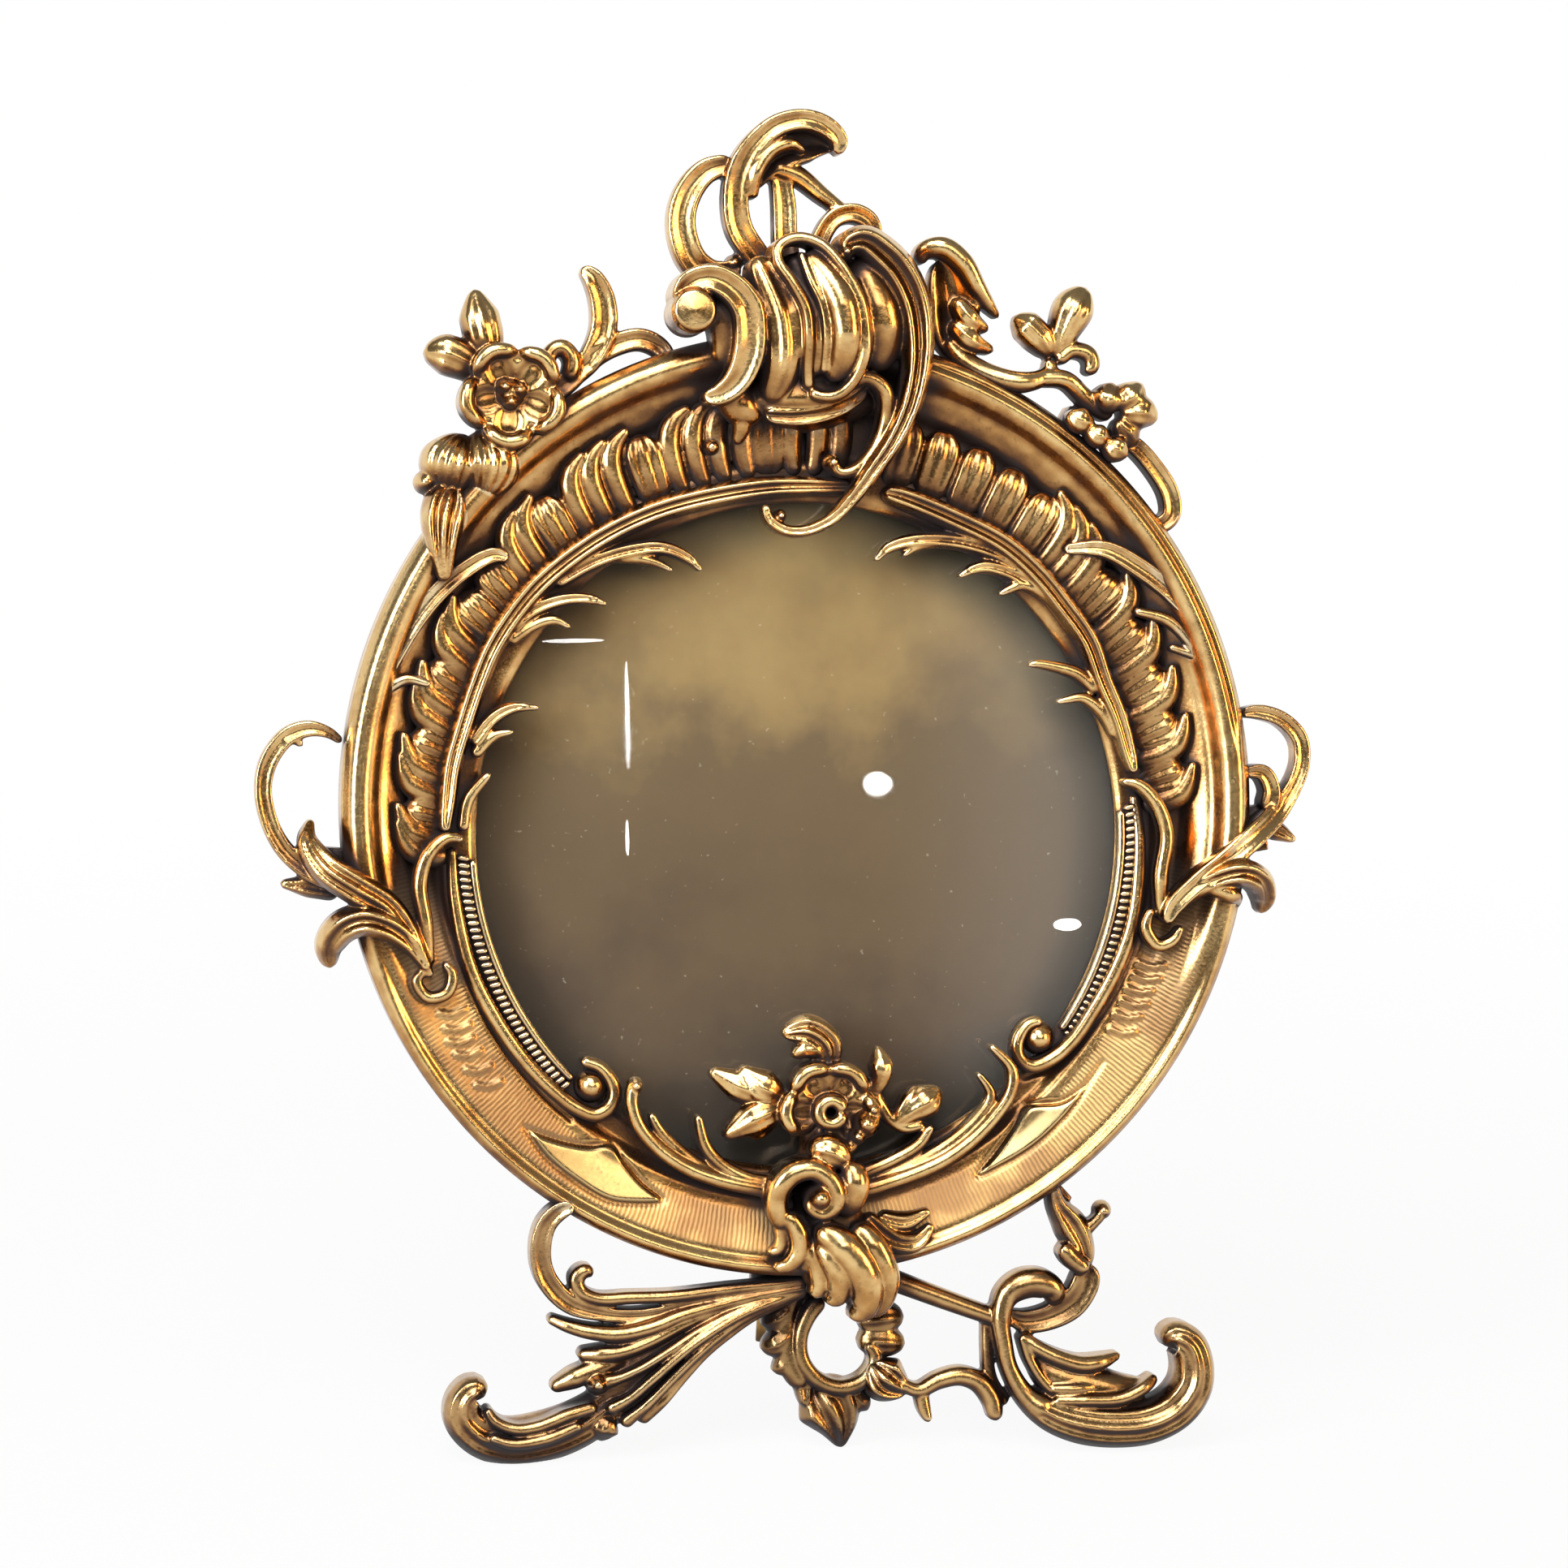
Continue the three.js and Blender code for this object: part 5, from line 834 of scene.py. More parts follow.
FOOT_RIGHT = [
    (ROUND, [(50.6, -6), (51, -3.4), (48.4, -1.8), (44.8, -2), (41.6, -4.2), (40.4, -8), (41, -13.4),
             (42.2, -18.6), (45.4, -24), (50, -27.4)], [3, 4.8, 6, 6, 5, 3.8, 3.4, 3.4, 4.4, 6], 3,
     [5.5, 6.5, 7, 7, 6.5, 6.5, 6.5, 6.5, 7, 8]),
    (BELLY, [(42.6, -20), (45.4, -24), (50, -27.4), (56, -29.4), (63, -30.2), (70, -29.6), (75.4, -27),
             (78.6, -22.6), (79, -18), (77.6, -14.2), (74.8, -12.8), (73, -14.4)],
     [3, 4.6, 7, 8.6, 9, 9, 9, 8.6, 8, 7.4, 6.6, 4.4], 3,
     [6, 7, 8, 9, 9.5, 9.5, 9.5, 10, 10, 10, 9.4, 7]),
    (ROUND, [(44.4, -11.6), (47, -14), (51.6, -16.4), (56.4, -17.8), (60.6, -17.4), (64.6, -16.2)],
     [2, 2.8, 3.2, 3.4, 3, 1.6], 3, [6, 7, 7.6, 7.6, 7, 4.5]),
    (ROUND, [(46.5, -16), (51, -20), (57, -22), (64, -23.4), (70, -23)], [4, 8, 9, 7, 4], 3,
     [5, 6.2, 6.6, 6.4, 5]),
    (ROUND, [(44.4, -11.6), (46.2, -17), (49, -21.4), (52, -24)], [2, 2.2, 2.2, 2.4], 3, 6.5),
    (ROUND, [(50, -22.6), (55.6, -22.6), (61.6, -22.2)], [2, 2.4, 1.6], 3, [7, 7.5, 6]),
    (ROUND, [(50.6, -24.8), (57, -24.8), (64, -24.6), (69, -22.4), (71.6, -20.4)], [2, 2.4, 2.6, 2.6, 2],
     3, [7.5, 8.5, 8.5, 8, 6]),
    (LEAF, [(50.2, 18), (51.4, 14), (54.6, 9.4), (56.8, 5), (57.2, 1)], [2.4, 4, 7, 5.4, 4], [5, 4, 3],
     6),
    (ROUND, [(52.2, 6), (54, 3.4), (57.6, 0.6)], [3, 3.8, 3.4], 4, 6.5),
    (BAND, [(57.8, 2), (57.4, -2), (55, -6), (50.6, -8.6), (45.4, -9.4), (42, -8)],
     [5, 6, 6, 5.4, 4.6, 3], 2.4, [6, 6, 5.5, 5, 5, 5]),
    (ROUND, [(57.2, 8.4), (59.6, 10.6), (61, 12.2)], [2.8, 2.2, 2.4], 4, 4.5),
    (ROUND, [(13, 1.5), (28.2, -4.4), (40, -8.8)], [4.4, 4, 3.6], 3, 5),
    (ROUND, [(38, -8), (38, -15), (38.8, -21), (41.8, -26)], [2.4, 2.4, 2.8, 3], 2.6, 4),
    (ROUND, [(19.8, -20.8), (24, -22.6), (28.2, -20.8), (32.6, -20), (36.2, -21.4), (38.8, -24.8),
             (39.6, -29)], [2.6, 3, 3.6, 4, 4.2, 4, 3], 3, 5),
    (ROUND, [(24.6, -22.6), (25.2, -26), (26.2, -29)], [3, 2.8, 1.6], 3, 4.6),
    (REED3, [(14.6, -17), (17.6, -20.4), (22, -23)], [6.4, 9.6, 6], 3, [5, 6.6, 5]),
]
FOOT_RIGHT_KNOBS = [((61, 12.4), 2, 4, 5)]

PENDANT = [
    (ROUND, [(5, -4), (2.2, -8), (0.8, -12), (1.2, -16.4), (4.2, -20.4), (8.6, -22), (12.8, -21),
             (15.2, -18.4), (15.6, -15.8), (14, -13.2)], [4, 3.4, 3, 3, 3.2, 3.2, 3.2, 3, 2.8, 2.2], 0,
     6.5),
    (ROUND, [(2, 0), (-1.6, -5), (-2.2, -11), (-1, -17), (1.6, -22)], [7, 6, 5, 5, 4.4], 0, 5.5),
    (POD, [(-1, -6), (-3.8, -8.4), (-6.6, -9.6)], [4.6, 5.2, 3.4], 0, [6, 6, 4]),
    (POD, [(-1, -11), (-4, -13.4), (-6.8, -14.2)], [4.8, 5.4, 3.4], 0, [6, 6, 4]),
    (POD, [(-0.6, -16), (-3, -18), (-4.6, -18.6)], [3.6, 3.8, 2], 0, [5.5, 5, 3.5]),
    (REED3, [(3.4, -21), (6.8, -25.6), (8.4, -29.4), (9.2, -34.2)], [11, 13, 9.6, 2.4], 0,
     [5, 6.5, 6, 4]),
    (LEAF, [(1.6, -20), (2, -25.8)], [5, 2.2], 0, 5),
    (POD, [(11, -22.6), (13.4, -25.4), (14.6, -27)], [4, 4, 2.4], 0, [5, 5, 3.5]),
    (POD, [(12.4, -9.4), (17.4, -8.6), (21.8, -8.4)], [5.4, 7, 5], 0, [5.6, 6.4, 4.6]),
    (POD, [(12.4, -13), (17.4, -13.2), (22, -13.8)], [5.4, 6.6, 4.6], 0, [5.6, 6.4, 4.6]),
    (ROUND, [(17, -10), (14, -4), (9, 0)], [6, 7, 7], 0, 5),
]


def strands(anchor, rows, knobs=()):
    """Strands and knobs drawn from an anchor at so many degrees round the rim."""
    place = rim(anchor, ANCHOR_LIFT)
    return [sweep(place, *row) for row in rows] + [knob(place, *row) for row in knobs]


# Tangs, out from the rim: where the bar starts, where its neck starts, where it stops if it stays behind
# the ring, and where its upright starts. Then its depths and half width, and how arms lie behind the ring.
TANG_START, TANG_NECK, TANG_STOP, TANG_CLEAR = -11.0, -3.0, -0.6, 0.3
TANG_BACK, TANG_FRONT, TANG_HALF = -2.3, -0.3, 4.5
ARM_INSET, ARM_BACK, ARM_RISE = 4.5, -1.8, 1.4


def tang(degrees, lug=4.5, top=7.0, upright=TANG_HALF):
    """The flat tang behind the ring that carries an ornament, with its upright outside the rim."""
    start, edge = sight(degrees), rim(degrees)
    out = (edge - start) / np.linalg.norm(edge - start)

    def bar(first, last, half, front=TANG_FRONT):
        side = half * np.array([-out[1], out[0]])
        near, far = edge + first * out, edge + last * out
        return block([near - side, far - side, far + side, near + side], TANG_BACK, front)

    return [bar(TANG_START, min(lug, TANG_STOP), TANG_HALF), bar(TANG_NECK, lug, upright),
            bar(TANG_CLEAR, lug, upright, top)]


def arm(first, last):
    """A tang behind the ring that runs on behind it to an upright close to the clasp."""
    run = [rim(turn, -ARM_INSET) for turn in np.linspace(first, last, 5)]
    upright = [rim(last, out) for out in (-4, 1, 6)]
    return [tang(first, TANG_STOP)[0], sweep((0, 0), BAND, run, 6, ARM_BACK, ARM_RISE),
            sweep((0, 0), ROUND, upright, 4.4, ARM_BACK, [ARM_RISE, 5, 6])]


def casting(name, shells, finish=gilt):
    """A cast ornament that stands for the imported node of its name."""
    piece(name, fused(mesh_of(name, shells), VOXEL), finish, [name])


crest = strands(90, CREST, CREST_KNOBS) + [eye(rim(90, ANCHOR_LIFT), *CREST_EYE)]
casting("crest_cartouche", crest)
casting("crest_finial", strands(90, FINIAL, FINIAL_KNOBS) + tang(90, 13, 6))
spray_left = strands(127, SPRAY_LEFT, SPRAY_LEFT_KNOBS) + flower(rim(127, ANCHOR_LIFT), *SPRAY_LEFT_ROSE)
casting("rose_spray_left", spray_left + tang(128))
casting("bellflower_spray_right", strands(55, SPRAY_RIGHT, SPRAY_RIGHT_KNOBS) + tang(53, upright=2.0))
casting("side_scroll_left", strands(180, SIDE_LEFT) + tang(188))
casting("side_scroll_right", strands(0, SIDE_RIGHT) + tang(-3.5))
rose_eye = [(ROSE_EYE[0] + ROSE_EYE_RADIUS * math.cos(t), ROSE_EYE[1] + ROSE_EYE_RADIUS * math.sin(t))
            for t in np.linspace(0, 2 * math.pi, 9)]
clasp = strands(270, CLASP, CLASP_KNOBS) + flower(rim(270, ANCHOR_LIFT), *CLASP_ROSE)
casting("rose_clasp", clasp + strands(270, [(ROUND, rose_eye, 2.6, 10, 8.6)]))
casting("foot_left", strands(270, FOOT_LEFT, FOOT_LEFT_KNOBS) + arm(258, 266), shade_gilt)
foot_right = strands(270, FOOT_RIGHT, FOOT_RIGHT_KNOBS) + arm(284, 278.4) + tang(304.4, upright=1.8)
casting("foot_right", foot_right, shade_gilt)
# The pendant takes the darkest copy of the gilt, as painted shade.
casting("pendant", strands(270, PENDANT) + tang(268.5, 9, 2.4), deep_shade_gilt)


# The ring: a swept moulding, deep coved above and nearly flat below, with relief pressed into it
RING_TURNS = 1080
FRONT_POINTS = 64
PATH_STEP = 0.8

# Across the ring's band: depths at distances out from the sight edge, then at distances in from the rim.
COVED_INNER = [(0, 7), (0.9, 8.2), (3, 8.6), (7.4, 8.8), (9, 7)]
COVED_OUTER = [(13.4, 6.8), (12.4, 8.4), (8.4, 11), (7.4, 11.2), (6.6, 12.8), (5.4, 14.4), (3.8, 15),
               (2.2, 14.8), (1, 13.6), (0, 11)]
FLAT_INNER = [(0, 7), (0.9, 8.2), (4.6, 8.6), (6.4, 10.2), (8.5, 10.4)]
FLAT_OUTER = [(4.4, 12.4), (3.4, 12.3), (2, 13.6), (0.8, 13.2), (0, 11)]
FLAT_MIDDLE = 11.0

# Where the cove runs out into the flat band, in degrees: on the right side, then on the left.
COVE_ENDS = [(-32, -4), (-148, -176)]
BOTTOM = -90

# The ring's back: share of the way across the band, distance on from there, and depth.
RING_BACK = [(1, 0, 0), (1, -CASTING_WALL, 0), (1, -CASTING_WALL - 0.5, 6), (0.5, 3, 4.6),
             (0, FLANGE_WIDTH + 0.5, 4.6), (0, FLANGE_WIDTH, 0), (0, REBATE_WIDTH, 0),
             (0, REBATE_WIDTH, REBATE_DEPTH), (0, 0, REBATE_DEPTH)]

# Chasing on the lower band. Ridges and grooves: rise and half width.
MATTED_INNER, MATTED_OUTER = (8.0, 9.6), (3.8, 4.8)
RESERVE_RISE, RESERVE_SLOPE = 0.7, 0.8
CHASED_GROOVE = (-0.5, 0.5)
DASH_RIDGE, DASH_DIP, DASH_REACH = (0.9, 0.55), (-0.3, 1.3), 2.4
RIM_GROOVE, RIM_GROOVE_INSET, RIM_GROOVE_ENDS = (-1.1, 0.6), 2.4, [(6, 14), (78, 70)]


def smoothstep(low, high, value):
    share = np.clip((value - low) / (high - low), 0, 1)
    return share * share * (3 - 2 * share)


def path_distance(points, path):
    """How far each point is from a smooth path."""
    curve = trace(path, PATH_STEP)[0]
    best = np.full(len(points), np.inf)
    for start, end in zip(curve[:-1], curve[1:]):
        along = end - start
        share = np.clip((points - start) @ along / (along @ along), 0, 1)
        best = np.minimum(best, np.linalg.norm(points - start - share[:, None] * along, axis=1))
    return best


def inside(points, outline):
    """Which points lie inside a closed outline."""
    crossings = np.zeros(len(points), bool)
    for (u0, v0), (u1, v1) in zip(outline, np.roll(outline, -1, axis=0)):
        spans = (v0 > points[:, 1]) != (v1 > points[:, 1])
        with np.errstate(divide="ignore", invalid="ignore"):
            crossings ^= spans & (points[:, 0] < (u1 - u0) * (points[:, 1] - v0) / (v1 - v0) + u0)
    return crossings


RESERVES = [
    [(-54, -62.5), (-47, -65), (-42, -66), (-37, -66), (-34.4, -69.4), (-31, -73.4), (-27, -77),
     (-33, -77.4), (-38, -76.6), (-44, -73), (-50, -68)],
    [(60, -51), (57, -55), (52, -58.5), (45, -59.5), (42.6, -63), (39, -68), (35, -73), (42, -70),
     (48, -66), (54, -60), (58, -54)],
]
DASHES_LEFT = [(-68, -40), (-67, -43), (-66.5, -45.5), (-65, -48), (-63, -51), (-61, -54)]
DASHES_RIGHT = [(70, -32), (69, -34.5), (67.5, -37), (66.5, -39.5), (65, -42), (64, -45)]
GROOVES = [
    [(-70.5, -10), (-69.5, -20), (-65.5, -32), (-58.5, -46), (-50.5, -56), (-45, -61)],
    [(70.5, 0), (70.5, -10), (68, -25), (63.5, -36), (58.5, -44), (52, -51), (45, -54)],
]


def ridge(gap, rise, half):
    """A rounded ridge, or a groove where its rise is below zero, a gap away from its line."""
    return rise * np.exp(-(gap / half) ** 2)


def band_depths(across, band, coved):
    """Depths across the ring's front at each turn, from its coved and flat mouldings, a little softened."""
    depths = np.empty(across.shape)
    for row, t, width, cove in zip(depths, across, band, coved):
        flat_inner = [*FLAT_INNER, (0.5 * width, FLAT_MIDDLE)]
        high, flat = (np.interp(t, [*(at for at, _ in inner), *(width - at for at, _ in outer)],
                                [depth for _, depth in [*inner, *outer]])
                      for inner, outer in ((COVED_INNER, COVED_OUTER), (flat_inner, FLAT_OUTER)))
        row[:] = cove * high + (1 - cove) * flat
    kernel = np.array([1, 3, 4, 3, 1]) / 12
    padded = np.pad(depths, ((0, 0), (2, 2)), mode="edge")
    return sum(share * padded[:, k:k + FRONT_POINTS] for k, share in enumerate(kernel))


def chasing_on(points, matted):
    """Relief of the chased marks at each point, and their mask: matted above zero, polished below it."""
    relief, mask = np.zeros(len(points)), matted
    for outline in RESERVES:
        closed = [*outline, outline[0]]
        gap, within = path_distance(points, closed), inside(points, trace(closed, PATH_STEP)[0])
        field = smoothstep(0, RESERVE_SLOPE, np.where(within, gap, 0))
        relief += RESERVE_RISE * field + ridge(gap, *CHASED_GROOVE)
        mask = np.where(within, -smoothstep(0.2, RESERVE_SLOPE, gap), mask)
    for u, v in DASHES_LEFT + DASHES_RIGHT:
        reach = math.copysign(DASH_REACH, u)
        gap = path_distance(points, [(u - reach, v + 0.7), (u, v - 0.2), (u + reach, v + 0.1)])
        relief += ridge(gap, *DASH_RIDGE) + ridge(gap, *DASH_DIP)
    for path in GROOVES:
        relief += ridge(path_distance(points, path), *CHASED_GROOVE)
    return relief, mask


def ring_mesh():
    degrees = np.linspace(0, 360, RING_TURNS, endpoint=False)
    swing = (degrees + 180) % 360 - 180
    round_turn = np.column_stack([np.cos(np.radians(degrees)), np.sin(np.radians(degrees))])
    start, end = SIGHT_HALF * round_turn - [0, SIGHT_DROP], RING_HALF * round_turn
    band = np.linalg.norm(end - start, axis=1)
    out = (end - start) / band[:, None]
    right, left = (smoothstep(*ends, swing) for ends in COVE_ENDS)
    coved = np.maximum(np.maximum(swing > 0, right * (swing > BOTTOM)), left * (swing < BOTTOM))
    across = np.linspace(0, 1, FRONT_POINTS) * band[:, None]
    places = start[:, None] + across[..., None] * out[:, None]
    depths = band_depths(across, band, coved)

    outer = [band[:, None] - inset for inset in MATTED_OUTER]
    matted = (1 - coved)[:, None] * smoothstep(*MATTED_INNER, across) * smoothstep(*outer, across)
    relief, mask = chasing_on(places.reshape(-1, 2), matted.ravel())
    depths = depths + relief.reshape(depths.shape)
    first, last = (smoothstep(*ends, swing) for ends in RIM_GROOVE_ENDS)
    depths += (first * last)[:, None] * ridge(across - (band[:, None] - RIM_GROOVE_INSET), *RIM_GROOVE)

    rows = np.empty((RING_TURNS, FRONT_POINTS + len(RING_BACK), 3))
    rows[:, :FRONT_POINTS, :2], rows[:, :FRONT_POINTS, 2] = places, depths
    for k, (share, offset, depth) in enumerate(RING_BACK, FRONT_POINTS):
        rows[:, k, :2], rows[:, k, 2] = start + (share * band + offset)[:, None] * out, depth
    index = np.arange(rows.shape[0] * rows.shape[1]).reshape(rows.shape[:2])
    ahead, down = np.roll(index, -1, axis=0), np.roll(index, -1, axis=1)
    corner = np.roll(ahead, -1, axis=1)
    faces = np.stack([index, ahead, corner, down], axis=-1).reshape(-1, 4)
    mesh = mesh_of("ring", [(rows.reshape(-1, 3), faces.tolist())])
    masks = np.zeros(rows.shape[:2])
    masks[:, :FRONT_POINTS] = mask.reshape(depths.shape)
    mesh.attributes.new("chasing", "FLOAT", "POINT").data.foreach_set("value", masks.ravel())
    return mesh


piece("ring_moulding", ring_mesh(), ring_gilt, ["ring_casting"])

# Palm fronds on the ring: a double stem, leaf tips that hang over the glass, and leaflets in the cove
PALM_LEFT = [
    (TWIN, [(10, 62), (-6, 61.8), (-20, 59.5), (-30, 56.5), (-40, 51.5), (-50, 44), (-55, 38.5),
            (-60, 31), (-63, 24), (-66, 15), (-68, 8), (-69, 0), (-69.5, -5)],
     [3.4, 4.6, 5, 5, 5, 5, 4.8, 4.6, 4.4, 4.2, 4, 3.4, 2], 8, 5.6),
    (TWIN, [(-48, 43), (-40, 47.4), (-33, 49.5), (-27, 50), (-22, 48), (-19.5, 45.5)],
     [3, 3.4, 3.4, 3, 2.4, 1], 8.4, 4),
    (ROUND, [(-36, 48), (-31, 47.8), (-28, 47), (-25, 45.5)], [2, 2, 1.8, 1], 8.4, 3.4),
    (TWIN, [(-57, 34), (-52, 38), (-46, 40), (-41, 40), (-38, 39)], [3, 3, 2.8, 2.2, 1], 8.4, 4),
    (ROUND, [(-57, 31.6), (-52, 35), (-48, 36), (-45, 34.5)], [2.4, 2.2, 2, 1], 8.4, 3.6),
    (TWIN, [(-64, 12), (-60, 17), (-56, 19), (-51, 19)], [3, 3, 2.4, 1], 8.4, 4),
    (ROUND, [(-64, 9.6), (-60, 13.5), (-56, 14.5)], [2.4, 2.2, 1], 8.4, 3.6),
    (ROUND, [(-66, -5), (-65, 1), (-62, 5), (-60.6, 6.4)], [2.4, 2.4, 2, 1], 8.4, 3.6),
    (BAND, [(-88, 12), (-86, 15), (-80, 28), (-72, 40), (-65, 46), (-60, 48.5), (-57, 48)],
     [2, 3, 4, 4, 3.4, 3, 2], 9, [4, 4, 4.4, 4, 3.4]),
    (ROUND, [(-86, 14), (-82, 21), (-77, 24.5), (-72, 23.5)], [2, 2.4, 2.4, 1.4], 8.6, 3.6),
    (ROUND, [(-85.6, 4), (-85, -3), (-83.6, -10)], [1.2, 2, 1.2], 9, 3),
    (ROUND, [(-82.6, 3), (-82.2, -3), (-81.2, -9.4)], [1.2, 1.8, 1.2], 8.6, 2.6),
]
PALM_RIGHT = [
    (TWIN, [(16, 61), (20, 60), (30, 56), (40, 51), (47, 45), (52, 39), (57, 32), (60, 24), (63, 17),
            (65, 10), (66, 6)], [3.4, 4.6, 5, 5, 5, 5, 4.8, 4.4, 4, 3.4, 2], 8, 5.6),
    (TWIN, [(45, 46), (38, 49.5), (30, 51.5), (22, 51.5), (17, 50), (14.5, 47.5)],
     [3, 3.4, 3.4, 3, 2.4, 1], 8.4, 4),
    (ROUND, [(27, 51), (23, 50.4), (20, 48.5)], [1.8, 1.8, 1], 8.4, 3.4),
    (TWIN, [(47, 42), (42, 45), (37, 46.5), (34, 46), (31, 44.5)], [3, 3, 2.8, 2.2, 1], 8.4, 4),
    (ROUND, [(52, 38), (48, 41.5), (44, 43), (41, 42), (39, 41)], [2.8, 2.8, 2.4, 1.8, 1], 8.4, 3.8),
    (ROUND, [(59, 22), (55, 25.5), (50, 27), (46, 27.5), (45, 27)], [2.8, 2.8, 2.2, 1.6, 1], 8.4, 3.8),
    (ROUND, [(63, 13), (60, 18), (56, 20.8), (53, 20.5), (50.5, 20)], [2.8, 2.8, 2.2, 1.6, 1], 8.4, 3.8),
    (BAND, [(52, 50), (60, 50), (66, 47), (74, 41), (80, 34), (84, 28)], [2, 3.4, 4, 4, 3.4, 2], 9.4,
     [3.4, 4.4, 4.6, 4, 3.4]),
    (ROUND, [(66, 38), (73, 36), (78, 31), (83, 25)], [1.8, 2.6, 2.6, 1.6], 8.8, 4),
    (ROUND, [(73, 31), (80, 28), (84, 20)], [1.6, 2.2, 1.4], 8.8, 3.6),
]

THUMBS_LEFT = [95, 114, 130.4, 142.3, 147.7, 158.4, 168.6, 178.3]
PLEATS_LEFT = [84, 87.5, 91, 98.6, 102.5, 106, 109.6, 118.8, 122.3, 125.7, 134.8, 138, 152, 155, 161.8,
               164.8, 172, 174.8, 181.6, 184]
THUMBS_RIGHT = [74, 68.2, 62.4, 56.6, 50.8, 36.2, 28, 21, 14, 7]
PLEATS_RIGHT = [46.4, 43.4, 40.2, 31.8, 24.5, 17.5, 10.5, 3.6]
CREST_DEGREES = 90
LEAFLET_FOOT, LEAFLET_TOP, LEAFLET_RIM_GAP, LEAFLET_BACK = 5.0, 19.6, 12.4, 6.9


def leaflets(thumbs, pleats):
    """Leaflets side by side in the cove: smooth thumbs, and pleats whose ends sweep towards the crest."""
    rows = []
    for degrees in thumbs + pleats:
        crestward = math.copysign(1, CREST_DEGREES - degrees)
        top = min(LEAFLET_TOP, np.linalg.norm(rim(degrees) - sight(degrees)) - LEAFLET_RIM_GAP)

        def at(turn, out):
            return band_point(degrees + crestward * turn, out)

        if degrees in thumbs:
            finger = [at(0, LEAFLET_FOOT), at(0, 10), at(0, (10 + top) / 2), at(0.4, top)]
            rows.append((THUMB, finger, [6.2, 7.4, 8, 7.4], LEAFLET_BACK, [2.7, 3.7, 4.3, 3.9]))
            continue
        fold = [at(0.3, LEAFLET_FOOT), at(-0.4, 0.4 * top + 3), at(0, 0.75 * top + 1.8), at(1.4, top),
                at(4, top + 1.8)]
        rows.append((ROUND, fold, [3.4, 4.6, 4.8, 3.8, 1.6], LEAFLET_BACK, [2.7, 3.9, 4.7, 4.7, 4.5]))
    return rows


def frond(name, rows, finish):
    shells = [sweep((0, 0), *row) for row in rows]
    piece(name, fused(mesh_of(name, shells), VOXEL), finish)


frond("palm_left", PALM_LEFT, gilt)
frond("palm_right", PALM_RIGHT, gilt)
# The leaflets take a darker copy of the gilt, as painted shade.
frond("leaflets_left", leaflets(THUMBS_LEFT, PLEATS_LEFT), cove_shade_gilt)
frond("leaflets_right", leaflets(THUMBS_RIGHT, PLEATS_RIGHT), cove_shade_gilt)


# Beaded bands round the lower sight edge, each ending in a volute. Out from the edge: the fillet, then each
# bead's inner end, middle and outer end. SIGHT_ARC is the length of edge in a degree.
FILLET_OUT, BEAD_OUTS = 0.9, (1.5, 2.8, 4.1)
SIGHT_ARC, BEAD_PITCH = 1.17, 1.35
BEAD_BACK, STRIP_BACK, SCROLL_BACK = 7.8, 7.6, 7.4


def bead_band(name, first, last, scroll, volute):
    def arc(out):
        return [band_point(turn, out) for turn in np.linspace(first, last, 12)]

    rows = [(ROUND, arc(FILLET_OUT), 1.5, STRIP_BACK, 2.8),
            (ROUND, arc(BEAD_OUTS[1]), 4.2, STRIP_BACK, 2.3),
            (ROUND, scroll, [2, 3, 3, 3, 3, 2.8, 2.6, 2.2], SCROLL_BACK, [3, 4.4, 4.4, 4.6, 4.6, 4])]
    for turn in np.linspace(first, last, int(abs(last - first) * SIGHT_ARC / BEAD_PITCH)):
        rows.append((ROUND, [band_point(turn, out) for out in BEAD_OUTS], [1.1, 1.2, 1.1], BEAD_BACK, 2.8))
    shells = [sweep((0, 0), *row) for row in rows] + [knob((0, 0), volute, 3.4, SCROLL_BACK, 5)]
    piece(name, mesh_of(name, shells), gilt)


SCROLL_LEFT = [(-68, -8), (-67.4, -18), (-64.6, -31), (-60, -40.6), (-54, -49.4), (-48, -55.6),
               (-44, -58.6), (-40, -60), (-37, -58), (-36.5, -55), (-39, -51), (-43, -49.5)]
SCROLL_RIGHT = [(66.6, 2), (67.6, -8), (66.4, -22), (63, -32), (58, -41), (54, -46.6), (50, -50),
                (46, -51.5), (43.5, -50), (43, -47), (45, -43.5), (48, -42.5)]
bead_band("bead_band_left", 184, 226, SCROLL_LEFT, (-41, -54.5))
bead_band("bead_band_right", 4, -36, SCROLL_RIGHT, (47.5, -46))


# Glass, card and board stay as packed
def keep(name, finish):
    obj = frame["nodes"][name]
    obj.data.materials.clear()
    obj.data.materials.append(finish)


keep("glass_pane", glass)
keep("photo_card", card)
keep("backing_board", board)


# The back: plate, turn buttons, screws, hinge and strut
PLATE_CORE, PLATE_BEAD, PLATE_CHAMFER = 0.001, 0.35, 0.3


def plate_mesh():
    """The back plate, drawn in shares of the way out to its edge, with a pressed bead inside the edge."""
    edge = np.array([band_point(turn, PLATE_LAP) for turn in np.linspace(0, 360, 240, endpoint=False)])
    centre = np.array([0, -SIGHT_DROP])
    bead = PLATE_BACK - PLATE_BEAD
    profile = [(PLATE_CORE, PLATE_BACK), (0.5, PLATE_BACK), (0.9, PLATE_BACK), (0.915, bead), (0.93, bead),
               (0.945, PLATE_BACK), (0.992, PLATE_BACK), (1, PLATE_BACK + PLATE_CHAMFER), (1, PLATE_FRONT),
               (0.5, PLATE_FRONT), (PLATE_CORE, PLATE_FRONT)]
    rows = [[(*(centre + share * (point - centre)), depth) for point in edge] for share, depth in profile]
    return mesh_of("plate", [loft(np.array(rows))])


piece("back_sheet", plate_mesh(), sheet, ["back_plate"], smooth=False)

SCREWS = [name for name in frame["nodes"] if "screw" in name]
SLOT_WIDTH, SLOT_DEPTH, SLOT_TURN = 0.7, 0.8, 0.65
HEAD_HEIGHT, SHANK_RADIUS = 1.4, 1.3


